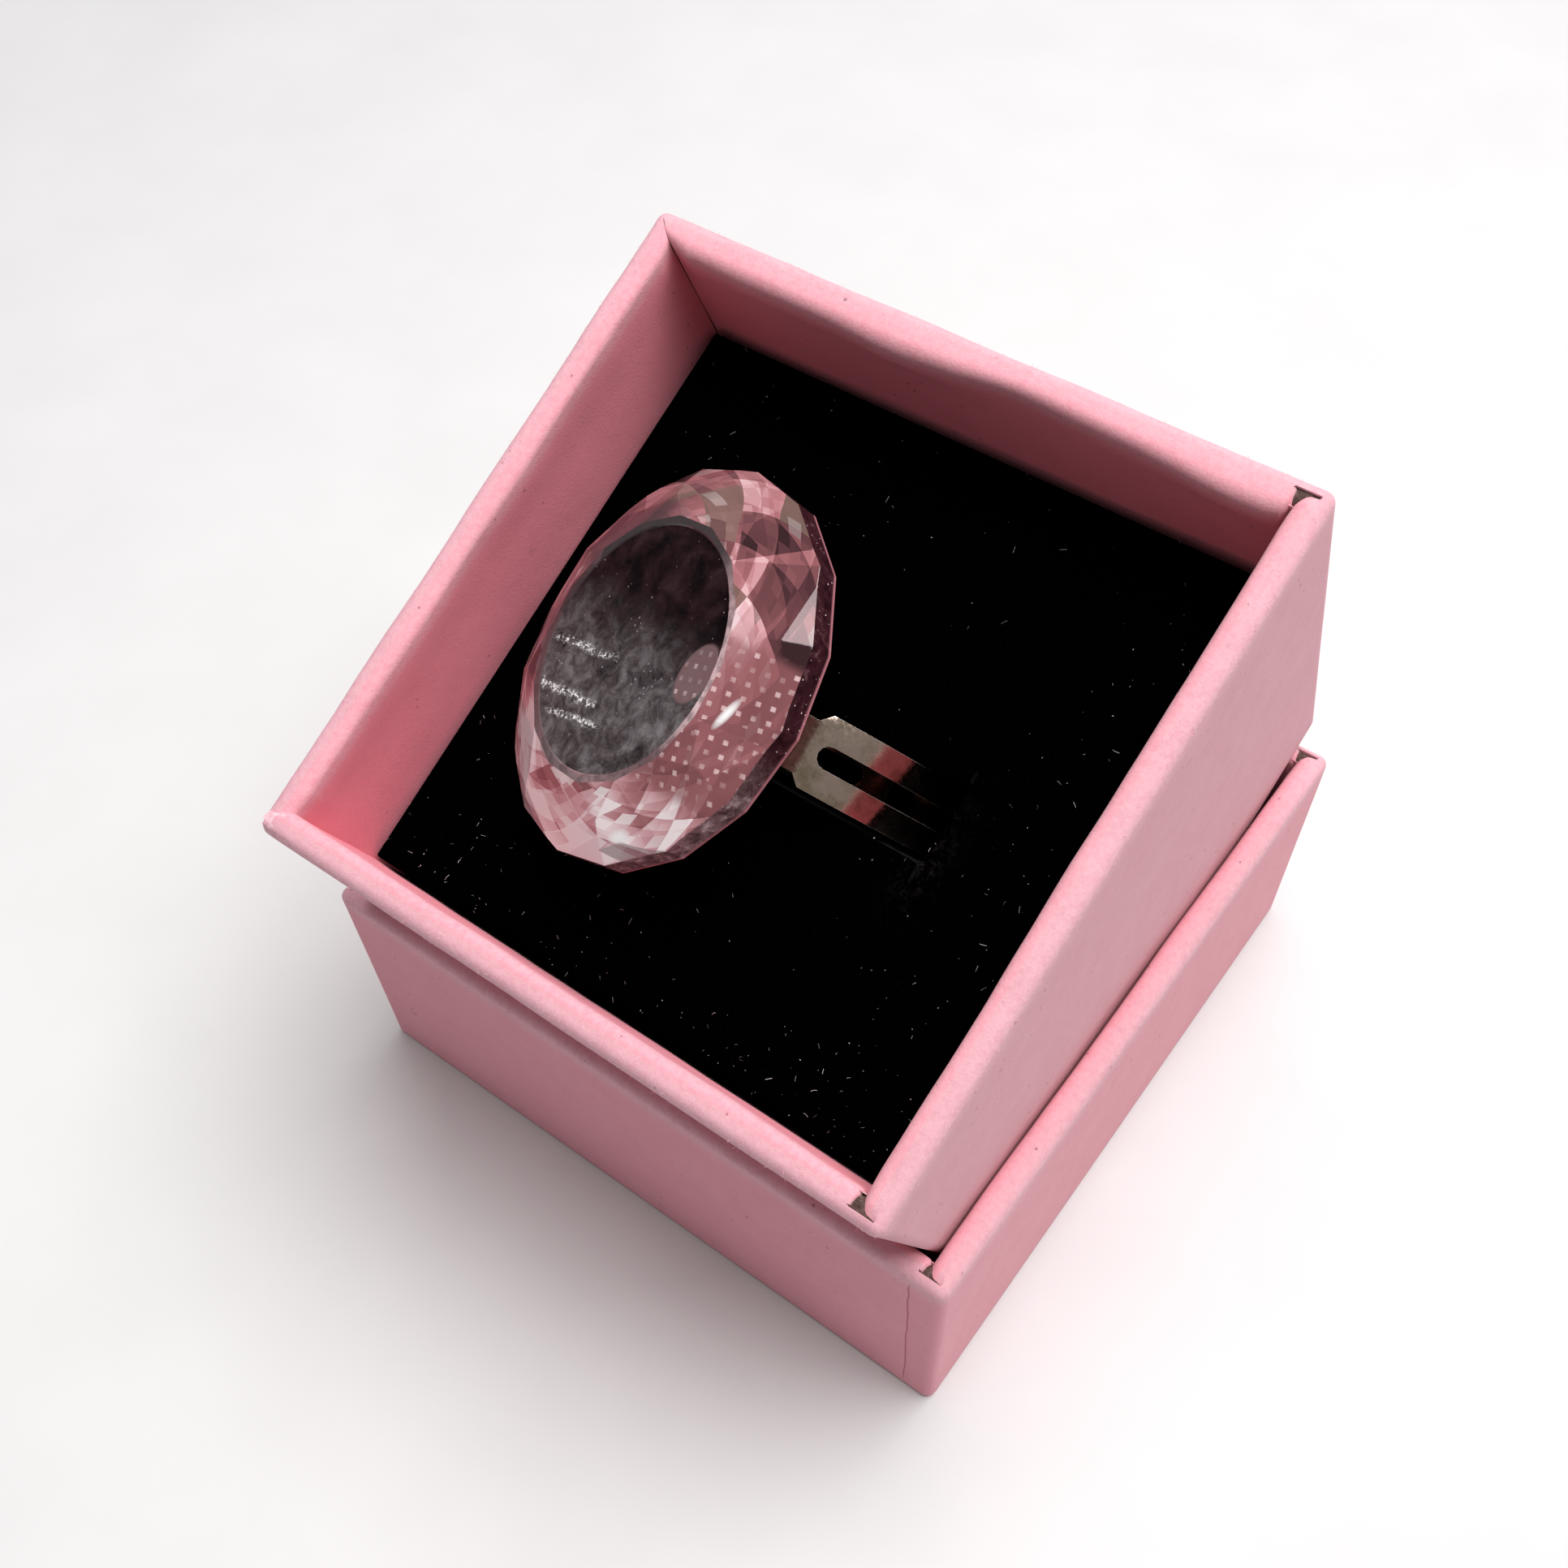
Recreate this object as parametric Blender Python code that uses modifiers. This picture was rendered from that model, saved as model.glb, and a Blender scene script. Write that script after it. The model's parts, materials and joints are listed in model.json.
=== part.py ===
"""Paper-wrapped ring box: the base stands tipped in its upturned lid, with a crystal ring in its foam.

Units are metres, +Z is up. The origin is the middle of the lid's underside, on the surface that the
box stands on. X runs along the lid's front wall and Y from the front wall to the back wall.

The base, its insert and the ring are each modelled upright in their own frames and hang from empties:
the base leans on the lid by an angle that follows from the sizes, and the ring leans in its slot.
"""
import math

import bmesh
import bpy
from mathutils import Matrix, Vector

MM = 0.001

# Overall sizes
LID_SIDE = 50.0 * MM
LID_HEIGHT = 18.8 * MM
BASE_HEIGHT = 33.4 * MM
SLIP_CLEARANCE = 0.4 * MM          # base wall to lid wall on each side, with the box closed

# Wall build-up, from the outside in: paper, corner stay, board, turned-in paper
PAPER = 0.14 * MM
STAY = 0.10 * MM
BOARD = 1.25 * MM
GLUE = 0.05 * MM                   # one glue line
STAY_LEG = 9.0 * MM                # how far a stay reaches round each side of its corner
STAY_INSET = 1.2 * MM              # how far a stay ends short of the board's edges
CORNER_RADIUS = 0.9 * MM           # upright corners of the wrap
FOLD_RADIUS = 0.55 * MM            # all other folds of the wrap
BASE_TURN_IN = 14.0 * MM           # how far the base's wrap is turned in over the rim
LINER_MARGIN = 0.35 * MM           # floor liner to the turned-in paper
TURN_IN_GAP = 0.3 * MM             # foot of the lid's turned-in paper to its floor liner

# How the base rests on the lid
REST_GAP = 0.3 * MM

# Insert: a foam pad with a velvet cover
FOAM_DROP = 8.6 * MM               # rim of the base down to the velvet
VELVET = 0.6 * MM
VELVET_SKIRT = 10.0 * MM           # how far the velvet is turned down the foam's sides
INSERT_CLEARANCE = 0.3 * MM
INSERT_RADIUS = 1.2 * MM           # rounded edges of the covered pad
SLOT_CLEARANCE = 0.4 * MM          # ring band to each side and the bottom of the slot
SLOT_END_CLEARANCE = 0.8 * MM      # ring band to the nearer end of the slot
CROSS_CUT_LENGTH = 8.0 * MM        # short cut across each end of the slot, which lets its lips open
CROSS_CUT_WIDTH = 0.6 * MM
CROSS_CUT_DEPTH = 9.0 * MM

# Ring band: a slotted strip, rolled up and open at the bottom
BAND_RADIUS = 10.0 * MM
BAND_WIDTH = 4.7 * MM
BAND_THICKNESS = 0.7 * MM
BAND_FLAT = 2.4 * MM               # half length of the flat under the pad
BAND_NECK_WIDTH = 3.4 * MM
BAND_NECK_LENGTH = 7.6 * MM        # middle of the strip to the start of its shoulders
BAND_SHOULDER = 0.65 * MM          # length of each slanting shoulder
BAND_SLOT_WIDTH = 1.4 * MM
BAND_SLOT_START = 8.4 * MM         # middle of the strip to the round end of each slot
BAND_SLOT_MARGIN = 2.6 * MM        # end of the strip to the other end of the slot
BAND_OPENING = 2.4 * MM            # between the two ends of the rolled strip
BAND_END_RADIUS = 1.2 * MM
BAND_STEPS = 44                    # bends along the rolled strip

# Pad, cement and crystal, stacked outwards from the band
PAD_RADIUS = 6.6 * MM
PAD_THICKNESS = 0.5 * MM
CEMENT_RADIUS = 6.0 * MM
CEMENT_THICKNESS = 0.25 * MM
CRYSTAL_RADIUS = 12.4 * MM
CRYSTAL_CROWN = 2.1 * MM           # girdle up to the table
CRYSTAL_GIRDLE = 1.5 * MM
CRYSTAL_PAVILION = 2.4 * MM        # girdle down to the flat back
CRYSTAL_BACK_RADIUS = 7.6 * MM
CRYSTAL_TABLE_APOTHEM = 8.1 * MM
CRYSTAL_SIDES = 16
CROWN_MAINS = 8

# Where the ring sits in the insert, and how it leans
STONE_CLEARANCE = 0.2 * MM         # lowest edge of the stone and its pad to the velvet
STONE_WALL_GAP = 3.2 * MM          # leftmost edge of the stone to the base's left wall
RING_LEAN = math.radians(9.5)      # towards the front wall
RING_ROLL = math.radians(23.8)     # the stone rolls round towards the left wall

# Worked out from the sizes above
OUTER_SKIN = PAPER + GLUE + STAY + GLUE          # outer face of a wall to its board
INNER_SKIN = GLUE + PAPER                        # inner face of a wall to its board
WALL = OUTER_SKIN + BOARD + INNER_SKIN
RIM_SKIN = PAPER + GLUE                          # rim or underside to the board
FLOOR = RIM_SKIN + BOARD + GLUE + PAPER          # underside to the top of the floor liner
BASE_SIDE = LID_SIDE - 2 * (WALL + SLIP_CLEARANCE)
BOARD_RADIUS = FOLD_RADIUS - RIM_SKIN + GLUE
VELVET_TOP = BASE_HEIGHT - FOAM_DROP
INSERT_SIDE = BASE_SIDE - 2 * (WALL + INSERT_CLEARANCE)

# Heights in the ring's frame, from the middle of the band, and each edge with its radius
PAD_BASE = math.sqrt(BAND_RADIUS ** 2 - BAND_FLAT ** 2) + GLUE
CEMENT_BASE = PAD_BASE + PAD_THICKNESS + GLUE
CRYSTAL_BASE = CEMENT_BASE + CEMENT_THICKNESS + GLUE
GIRDLE_LOW = CRYSTAL_BASE + CRYSTAL_PAVILION
GIRDLE_HIGH = GIRDLE_LOW + CRYSTAL_GIRDLE
TABLE = GIRDLE_HIGH + CRYSTAL_CROWN
STONE_EDGES = ((PAD_BASE, PAD_RADIUS), (CRYSTAL_BASE, CRYSTAL_BACK_RADIUS),
               (GIRDLE_LOW, CRYSTAL_RADIUS), (GIRDLE_HIGH, CRYSTAL_RADIUS))

# The leaning ring stands on its lowest edge and keeps its gap to the left wall
RING_RISE = math.cos(RING_LEAN) * math.cos(RING_ROLL)
RING_DIP = math.sqrt(1 - RING_RISE ** 2)
RING_SINK = min(up * RING_RISE - out * RING_DIP for up, out in STONE_EDGES) - STONE_CLEARANCE
STONE_REACH = max(up * math.sin(RING_ROLL) + out * math.cos(RING_ROLL) for up, out in STONE_EDGES)
RING_X = WALL + STONE_WALL_GAP + STONE_REACH - BASE_SIDE / 2
SLOT_LENGTH = 2 * (BAND_RADIUS + abs(RING_X) + SLOT_END_CLEARANCE)
SLOT_WIDTH = BAND_WIDTH + 2 * SLOT_CLEARANCE
SLOT_DEPTH = RING_SINK / math.cos(RING_LEAN) + BAND_RADIUS + SLOT_CLEARANCE

PINK_PAPER = ("pink_paper", (0.80, 0.36, 0.43), 0.78, 0.0)
GREY_BOARD = ("grey_board", (0.32, 0.29, 0.26), 0.9, 0.0)
STAY_PAPER = ("stay_paper", (0.62, 0.50, 0.36), 0.85, 0.0)
SPONGE = ("sponge", (0.05, 0.05, 0.055), 0.95, 0.0)
BLACK_VELVET = ("black_velvet", (0.006, 0.006, 0.007), 1.0, 0.0)
SILVER = ("silver", (0.75, 0.74, 0.72), 0.18, 1.0)
CLEAR_CEMENT = ("clear_cement", (0.75, 0.70, 0.68), 0.3, 0.0)
CRYSTAL_GLASS = ("crystal_glass", (0.92, 0.80, 0.83), 0.03, 0.0)


# Scene, collections and materials

def empty_scene():
    """Removes every object and starts the collections for the parts and for the cutters."""
    for thing in list(bpy.data.objects):
        bpy.data.objects.remove(thing, do_unlink=True)
    groups = []
    for name in ("jewelry_box", "cutters"):
        group = bpy.data.collections.new(name)
        bpy.context.scene.collection.children.link(group)
        groups.append(group)
    return groups


def material(finish):
    """A Principled BSDF material from a name, a colour, a roughness and a metallic value."""
    name, colour, roughness, metallic = finish
    made = bpy.data.materials.get(name)
    if made is None:
        made = bpy.data.materials.new(name)
        made.use_nodes = True
        shader = made.node_tree.nodes["Principled BSDF"]
        shader.inputs["Base Color"].default_value = (*colour, 1.0)
        shader.inputs["Roughness"].default_value = roughness
        shader.inputs["Metallic"].default_value = metallic
        made.diffuse_color = (*colour, 1.0)
    return made


def new_part(name, mesh, finish, parent=None, smooth=True):
    """Puts a mesh in the parts collection under its name, with its finish."""
    part = bpy.data.objects.new(name, mesh)
    PARTS.objects.link(part)
    mesh.materials.clear()
    mesh.materials.append(material(finish))
    if smooth:
        mesh.shade_smooth()
        mesh.set_sharp_from_angle(angle=math.radians(40))
    part.parent = parent
    return part


def new_frame(name, place, parent=None):
    """An empty that carries the pieces of one moving body."""
    frame = bpy.data.objects.new(name, None)
    PARTS.objects.link(frame)
    frame.parent = parent
    frame.matrix_local = place
    return frame


def cut(part, name, mesh, place=Matrix()):
    """Takes a cutter's shape out of a part."""
    cutter = bpy.data.objects.new(name, mesh)
    CUTTERS.objects.link(cutter)
    cutter.parent = part
    cutter.matrix_local = place
    cutter.hide_render = True
    cutter.display_type = "WIRE"
    boolean = part.modifiers.new(name, "BOOLEAN")
    boolean.operation = "DIFFERENCE"
    boolean.solver = "EXACT"
    boolean.object = cutter


def round_edges(part, radius, segments=3, angle=40, weighted=False):
    """Rounds a part's sharp edges, or only the edges that carry a bevel weight."""
    bevel = part.modifiers.new("round_edges", "BEVEL")
    bevel.width = radius
    bevel.segments = segments
    bevel.limit_method = "WEIGHT" if weighted else "ANGLE"
    bevel.angle_limit = math.radians(angle)
    bevel.use_clamp_overlap = False


# Meshes that the parts share

def block_mesh(name, size_x, size_y, low, high):
    """A box centred on the Z axis between two heights."""
    mesh = bpy.data.meshes.new(name)
    shape = bmesh.new()
    size = Matrix.Diagonal((size_x, size_y, high - low, 1.0))
    lift = Matrix.Translation((0, 0, (low + high) / 2))
    bmesh.ops.create_cube(shape, size=1.0, matrix=lift @ size)
    shape.to_mesh(mesh)
    shape.free()
    return mesh


def disc_mesh(name, radius, low, high, sides=48):
    """A round plate centred on the Z axis between two heights."""
    mesh = bpy.data.meshes.new(name)
    shape = bmesh.new()
    lift = Matrix.Translation((0, 0, (low + high) / 2))
    bmesh.ops.create_cone(shape, cap_ends=True, segments=sides, radius1=radius, radius2=radius,
                          depth=high - low, matrix=lift)
    shape.to_mesh(mesh)
    shape.free()
    return mesh


def weigh_upright_edges(mesh, reach):
    """Gives the upright edges that stand further out than reach a full bevel weight."""
    weights = mesh.attributes.new("bevel_weight_edge", "FLOAT", "EDGE")
    for edge in mesh.edges:
        start, end = (mesh.vertices[index].co for index in edge.vertices)
        upright = abs(start.z - end.z) > abs(start.x - end.x) + abs(start.y - end.y)
        outside = min(abs(start.x), abs(start.y)) > reach
        weights.data[edge.index].value = 1.0 if upright and outside else 0.0


def open_box(shape, side, low, high):
    """A cube without its top; returns the edges of the opening."""
    size = Matrix.Diagonal((side, side, high - low, 1.0))
    lift = Matrix.Translation((0, 0, (low + high) / 2))
    bmesh.ops.create_cube(shape, size=1.0, matrix=lift @ size)
    shape.faces.ensure_lookup_table()
    top = [face for face in shape.faces if face.normal.z > 0.9]
    bmesh.ops.delete(shape, geom=top, context="FACES_ONLY")
    return [edge for edge in shape.edges if edge.is_boundary]


def extrude_rim(shape, edges):
    """Extrudes open edges where they are; returns the new edges and their vertices."""
    made = bmesh.ops.extrude_edge_only(shape, edges=edges)["geom"]
    new_edges = [item for item in made if isinstance(item, bmesh.types.BMEdge)]
    rim = [edge for edge in new_edges if edge.is_boundary]
    corners = {corner for edge in rim for corner in edge.verts}
    return rim, corners


# The two trays: board, corner stays, wrap and floor liner

def tray_board(name, side, height, parent):
    """Grey board tray, as folded up from one cross-shaped blank."""
    outer = side - 2 * OUTER_SKIN
    inner = outer - 2 * BOARD
    top = height - RIM_SKIN
    mesh = block_mesh(name, outer, outer, RIM_SKIN, top)
    weigh_upright_edges(mesh, outer / 4)
    board = new_part(name, mesh, GREY_BOARD, parent)
    round_edges(board, CORNER_RADIUS - OUTER_SKIN, segments=4, weighted=True)
    cavity = block_mesh(name + "_cavity", inner, inner, RIM_SKIN + BOARD, top + BOARD)
    cut(board, name + "_cavity", cavity)
    round_edges(board, BOARD_RADIUS)
    return board


def corner_stays(prefix, side, height, parent):
    """Four strips of paper tape that hold the board's corners, under the wrap."""
    reach = side / 2 - PAPER - GLUE
    low = RIM_SKIN + STAY_INSET
    high = height - RIM_SKIN - STAY_INSET
    for index, where in enumerate(("front_left", "front_right", "back_right", "back_left")):
        name = prefix + "_stay_" + where
        mesh = bpy.data.meshes.new(name)
        shape = bmesh.new()
        bmesh.ops.create_grid(shape, x_segments=2, y_segments=1, size=1.0)
        for corner in shape.verts:
            along, up = corner.co.x, corner.co.y
            corner.co.x = -reach + STAY_LEG * max(along, 0.0)
            corner.co.y = -reach + STAY_LEG * max(-along, 0.0)
            corner.co.z = high if up > 0 else low
        shape.to_mesh(mesh)
        shape.free()
        mesh.transform(Matrix.Rotation(index * math.pi / 2, 4, "Z"))
        stay = new_part(name, mesh, STAY_PAPER, parent)
        round_edges(stay, CORNER_RADIUS - PAPER - GLUE, segments=4, angle=60)
        shell = stay.modifiers.new("thickness", "SOLIDIFY")
        shell.thickness = STAY
        shell.offset = -1.0
        shell.use_even_offset = True


def tray_wrap(name, side, height, turn_in, parent):
    """One sheet of paper round a tray: underside, walls, over the rim and down the inside."""
    mesh = bpy.data.meshes.new(name)
    shape = bmesh.new()
    rim = open_box(shape, side, 0.0, height)
    rim, corners = extrude_rim(shape, rim)
    inner = (side - 2 * WALL) / side
    for corner in corners:
        corner.co.x *= inner
        corner.co.y *= inner
    rim, corners = extrude_rim(shape, rim)
    for corner in corners:
        corner.co.z -= turn_in
    bmesh.ops.recalc_face_normals(shape, faces=shape.faces)
    underside = min(shape.faces, key=lambda face: face.calc_center_median().z)
    if underside.normal.z > 0:
        bmesh.ops.reverse_faces(shape, faces=shape.faces)
    shape.to_mesh(mesh)
    shape.free()
    weigh_upright_edges(mesh, side / 2 - WALL / 2)
    wrap = new_part(name, mesh, PINK_PAPER, parent)
    round_edges(wrap, CORNER_RADIUS, segments=4, weighted=True)
    round_edges(wrap, FOLD_RADIUS, segments=4, angle=60)
    shell = wrap.modifiers.new("thickness", "SOLIDIFY")
    shell.thickness = PAPER
    shell.offset = -1.0
    shell.use_even_offset = True
    return wrap


def floor_liner(name, side, finish, parent):
    """The sheet that covers the board inside a tray's floor."""
    width = side - 2 * (WALL + LINER_MARGIN)
    low = RIM_SKIN + BOARD + GLUE
    return new_part(name, block_mesh(name, width, width, low, low + PAPER), finish, parent)


def tray(prefix, side, height, turn_in, parent=None):
    """All the pieces of the lid or of the base."""
    tray_board(prefix + "_board", side, height, parent)
    corner_stays(prefix, side, height, parent)
    tray_wrap(prefix + "_wrap", side, height, turn_in, parent)
    floor_liner(prefix + "_floor_liner", side, PINK_PAPER, parent)


# How the base stands in the lid

def base_rest_place():
    """Leans the base on the lid: its floor on the back rim, its front wall on the front rim.

    The front bottom edge is a round edge just above the lid's liner. With its centre a below the
    centres of the two rounded rims, which stand c from the middle, the lean is the angle where
    c sin(2 lean) = a + reach (sin(lean) + cos(lean)).
    """
    reach = 2 * FOLD_RADIUS + REST_GAP
    c = LID_SIDE / 2 - WALL + FOLD_RADIUS
    a = LID_HEIGHT - FOLD_RADIUS - (FLOOR + REST_GAP + FOLD_RADIUS)
    flat, steep = 0.0, math.pi / 4
    for _ in range(60):
        lean = (flat + steep) / 2
        if a + reach * (math.sin(lean) + math.cos(lean)) > c * math.sin(2 * lean):
            flat = lean
        else:
            steep = lean
    edge_y = (reach + a * math.sin(lean)) / math.cos(lean) - c
    edge_z = FLOOR + REST_GAP + FOLD_RADIUS
    turn = Matrix.Rotation(lean, 4, "X")
    middle = turn @ Vector((0, BASE_SIDE / 2 - FOLD_RADIUS, -FOLD_RADIUS))
    return Matrix.Translation(Vector((0, edge_y, edge_z)) + middle) @ turn


# Insert

def ring_place():
    """The ring's frame in the base: the middle of the band, with +Z towards the stone."""
    middle = Vector((RING_X, 0, VELVET_TOP - RING_SINK))
    lean = Matrix.Rotation(RING_LEAN, 4, "X")
    roll = Matrix.Rotation(-RING_ROLL, 4, "Y")
    return Matrix.Translation(middle) @ lean @ roll


def cut_slot(part):
    """The slot for the band, which leans as the ring does, and the short cuts across its ends."""
    mouth = Vector((0, RING_SINK * -math.tan(RING_LEAN), VELVET_TOP))
    lean = Matrix.Translation(mouth) @ Matrix.Rotation(RING_LEAN, 4, "X")
    above = INSERT_RADIUS
    slot = block_mesh(part.name + "_slot", SLOT_LENGTH, SLOT_WIDTH, -SLOT_DEPTH, above)
    cut(part, part.name + "_slot", slot, lean)
    cross_length = max(CROSS_CUT_LENGTH, SLOT_WIDTH + 2 * SLOT_CLEARANCE)
    for sign, end in ((-1, "left"), (1, "right")):
        name = part.name + "_cross_cut_" + end
        mesh = block_mesh(name, CROSS_CUT_WIDTH, cross_length, -CROSS_CUT_DEPTH, above)
        mesh.transform(Matrix.Translation((sign * (SLOT_LENGTH - CROSS_CUT_WIDTH) / 2, 0, 0)))
        cut(part, name, mesh, lean)


def foam_pad(parent):
    """Sponge block that fills the base up to the velvet."""
    width = INSERT_SIDE - 2 * (VELVET + GLUE)
    low = FLOOR + REST_GAP
    high = VELVET_TOP - VELVET - GLUE
    foam = new_part("foam_pad", block_mesh("foam_pad", width, width, low, high), SPONGE, parent)
    round_edges(foam, INSERT_RADIUS - VELVET - GLUE)
    cut_slot(foam)


def velvet_cover(parent):
    """Velvet glued over the top of the foam and turned down its sides."""
    mesh = bpy.data.meshes.new("velvet_cover")
    shape = bmesh.new()
    open_box(shape, INSERT_SIDE, -VELVET_TOP, VELVET_SKIRT - VELVET_TOP)
    shape.to_mesh(mesh)
    shape.free()
    mesh.transform(Matrix.Rotation(math.pi, 4, "X"))
    cover = new_part("velvet_cover", mesh, BLACK_VELVET, parent)
    round_edges(cover, INSERT_RADIUS)
    shell = cover.modifiers.new("thickness", "SOLIDIFY")
    shell.thickness = VELVET
    shell.offset = -1.0
    shell.use_even_offset = True
    cut_slot(cover)


# Ring

def arc(centre_x, centre_y, radius, start, end, steps):
    """Points along an arc, angles in degrees."""
    points = []
    for step in range(steps + 1):
        angle = math.radians(start + (end - start) * step / steps)
        points.append((centre_x + radius * math.cos(angle), centre_y + radius * math.sin(angle)))
    return points


def strip_outline(length):
    """Half of the strip's outline, along +X: neck, shoulder and rounded end, then back."""
    wide = BAND_WIDTH / 2
    neck = BAND_NECK_WIDTH / 2
    end = length - BAND_END_RADIUS
    side = wide - BAND_END_RADIUS
    lower = [(BAND_NECK_LENGTH, -neck), (BAND_NECK_LENGTH + BAND_SHOULDER, -wide)]
    tip = arc(end, -side, BAND_END_RADIUS, -90, 0, 4) + arc(end, side, BAND_END_RADIUS, 0, 90, 4)
    upper = [(x, -y) for x, y in reversed(lower)]
    return lower + tip + upper


def slot_outline(length):
    """The long slot along one arm of the strip, with round ends."""
    half = BAND_SLOT_WIDTH / 2
    start = BAND_SLOT_START + half
    end = length - BAND_SLOT_MARGIN - half
    return arc(end, 0, half, -90, 90, 6) + arc(start, 0, half, 90, 270, 6)


def mirrored(points):
    """The same points on the other arm of the strip."""
    return [(-x, -y) for x, y in points]


def strip_mesh(length):
    """The flat strip as it is stamped from sheet, before it is rolled."""
    curve = bpy.data.curves.new("ring_strip", "CURVE")
    curve.dimensions = "2D"
    curve.fill_mode = "BOTH"
    curve.extrude = BAND_THICKNESS / 2
    right = strip_outline(length)
    slot = slot_outline(length)
    for outline in (right + mirrored(right), slot, mirrored(slot)):
        spline = curve.splines.new("POLY")
        spline.points.add(len(outline) - 1)
        for point, (x, y) in zip(spline.points, outline):
            point.co = (x, y, 0, 1)
        spline.use_cyclic_u = True
    flat = bpy.data.objects.new("ring_strip", curve)
    PARTS.objects.link(flat)
    bpy.context.view_layer.update()
    evaluated = flat.evaluated_get(bpy.context.evaluated_depsgraph_get())
    mesh = bpy.data.meshes.new_from_object(evaluated)
    bpy.data.objects.remove(flat, do_unlink=True)
    return mesh


def rolled(point):
    """Where a point of the flat strip goes when the strip is rolled round the finger."""
    flat_angle = math.asin(BAND_FLAT / BAND_RADIUS)
    side = math.copysign(1.0, point.x)
    distance = abs(point.x)
    radius = BAND_RADIUS - BAND_THICKNESS / 2 + point.z
    if distance <= BAND_FLAT:
        return Vector((point.x * radius / BAND_RADIUS, point.y, radius * math.cos(flat_angle)))
    angle = flat_angle + (distance - BAND_FLAT) / BAND_RADIUS
    return Vector((side * radius * math.sin(angle), point.y, radius * math.cos(angle)))


def ring_band(parent):
    """Adjustable band: the strip bent over the finger, open at the bottom."""
    flat_angle = math.asin(BAND_FLAT / BAND_RADIUS)
    bottom = math.pi - BAND_OPENING / 2 / BAND_RADIUS
    length = BAND_FLAT + BAND_RADIUS * (bottom - flat_angle)
    mesh = strip_mesh(length)
    shape = bmesh.new()
    shape.from_mesh(mesh)
    bmesh.ops.remove_doubles(shape, verts=shape.verts, dist=0.001 * MM)
    bends = [-BAND_FLAT, BAND_FLAT]
    for step in range(1, BAND_STEPS // 2):
        bend = BAND_FLAT + (length - BAND_FLAT) * step / (BAND_STEPS // 2)
        bends += [-bend, bend]
    for bend in bends:
        everything = shape.verts[:] + shape.edges[:] + shape.faces[:]
        bmesh.ops.bisect_plane(shape, geom=everything, dist=0.001 * MM,
                               plane_co=(bend, 0, 0), plane_no=(1, 0, 0))
    bmesh.ops.triangulate(shape, faces=shape.faces)
    for corner in shape.verts:
        corner.co = rolled(corner.co)
    bmesh.ops.recalc_face_normals(shape, faces=shape.faces)
    shape.to_mesh(mesh)
    shape.free()
    mesh.name = "ring_band"
    new_part("ring_band", mesh, SILVER, parent)


def grind(shape, azimuth, slope, distance, height=0.0):
    """Grinds one facet: everything outside a plane goes, and the cut is closed.

    The plane stands at the azimuth, passes at the distance from the axis at the height, and its
    normal rises by the slope.
    """
    outward = Vector((math.cos(azimuth), math.sin(azimuth), 0))
    normal = outward * math.cos(slope) + Vector((0, 0, 1)) * math.sin(slope)
    everything = shape.verts[:] + shape.edges[:] + shape.faces[:]
    made = bmesh.ops.bisect_plane(shape, geom=everything, dist=0.0001 * MM, clear_outer=True,
                                  plane_co=outward * distance + Vector((0, 0, height)),
                                  plane_no=normal)
    edges = [item for item in made["geom_cut"] if isinstance(item, bmesh.types.BMEdge)]
    if edges:
        bmesh.ops.edgenet_fill(shape, edges=edges)


def facets(count, turn=0.0):
    """Azimuths of facets spread round the stone, turned by a share of their spacing."""
    return [2 * math.pi * (index + turn) / count for index in range(count)]


def crystal(parent):
    """Brilliant-cut crystal with a flat back: table, crown, girdle and a shallow pavilion."""
    mesh = bpy.data.meshes.new("crystal")
    shape = bmesh.new()
    lift = Matrix.Translation((0, 0, (CRYSTAL_BASE + TABLE) / 2))
    bmesh.ops.create_cone(shape, cap_ends=True, segments=4 * CRYSTAL_SIDES,
                          radius1=CRYSTAL_RADIUS * 1.1, radius2=CRYSTAL_RADIUS * 1.1,
                          depth=TABLE - CRYSTAL_BASE, matrix=lift)
    apothem = CRYSTAL_RADIUS * math.cos(math.pi / CRYSTAL_SIDES)
    main_slope = math.atan2(apothem - CRYSTAL_TABLE_APOTHEM, CRYSTAL_CROWN)
    half_slope = math.atan2(apothem - CRYSTAL_TABLE_APOTHEM, CRYSTAL_CROWN * 1.45)
    star_slope = math.atan2(apothem - CRYSTAL_TABLE_APOTHEM, CRYSTAL_CROWN * 0.62)
    back_slope = math.atan2(apothem - CRYSTAL_BACK_RADIUS, CRYSTAL_PAVILION)
    for azimuth in facets(CRYSTAL_SIDES, 0.5):
        grind(shape, azimuth, 0.0, apothem)
        grind(shape, azimuth, -back_slope, apothem, GIRDLE_LOW)
        grind(shape, azimuth, half_slope, apothem, GIRDLE_HIGH)
    for azimuth in facets(CROWN_MAINS):
        grind(shape, azimuth, main_slope, CRYSTAL_TABLE_APOTHEM, TABLE)
    for azimuth in facets(CROWN_MAINS, 0.5):
        grind(shape, azimuth, star_slope, CRYSTAL_TABLE_APOTHEM, TABLE)
    bmesh.ops.triangulate(shape, faces=shape.faces)
    bmesh.ops.recalc_face_normals(shape, faces=shape.faces)
    shape.to_mesh(mesh)
    shape.free()
    new_part("crystal", mesh, CRYSTAL_GLASS, parent, smooth=False)


def ring(parent):
    """All the pieces of the ring."""
    ring_band(parent)
    pad = disc_mesh("ring_pad", PAD_RADIUS, PAD_BASE, PAD_BASE + PAD_THICKNESS)
    new_part("ring_pad", pad, SILVER, parent)
    cement = disc_mesh("crystal_cement", CEMENT_RADIUS, CEMENT_BASE, CEMENT_BASE + CEMENT_THICKNESS)
    new_part("crystal_cement", cement, CLEAR_CEMENT, parent)
    crystal(parent)


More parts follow.
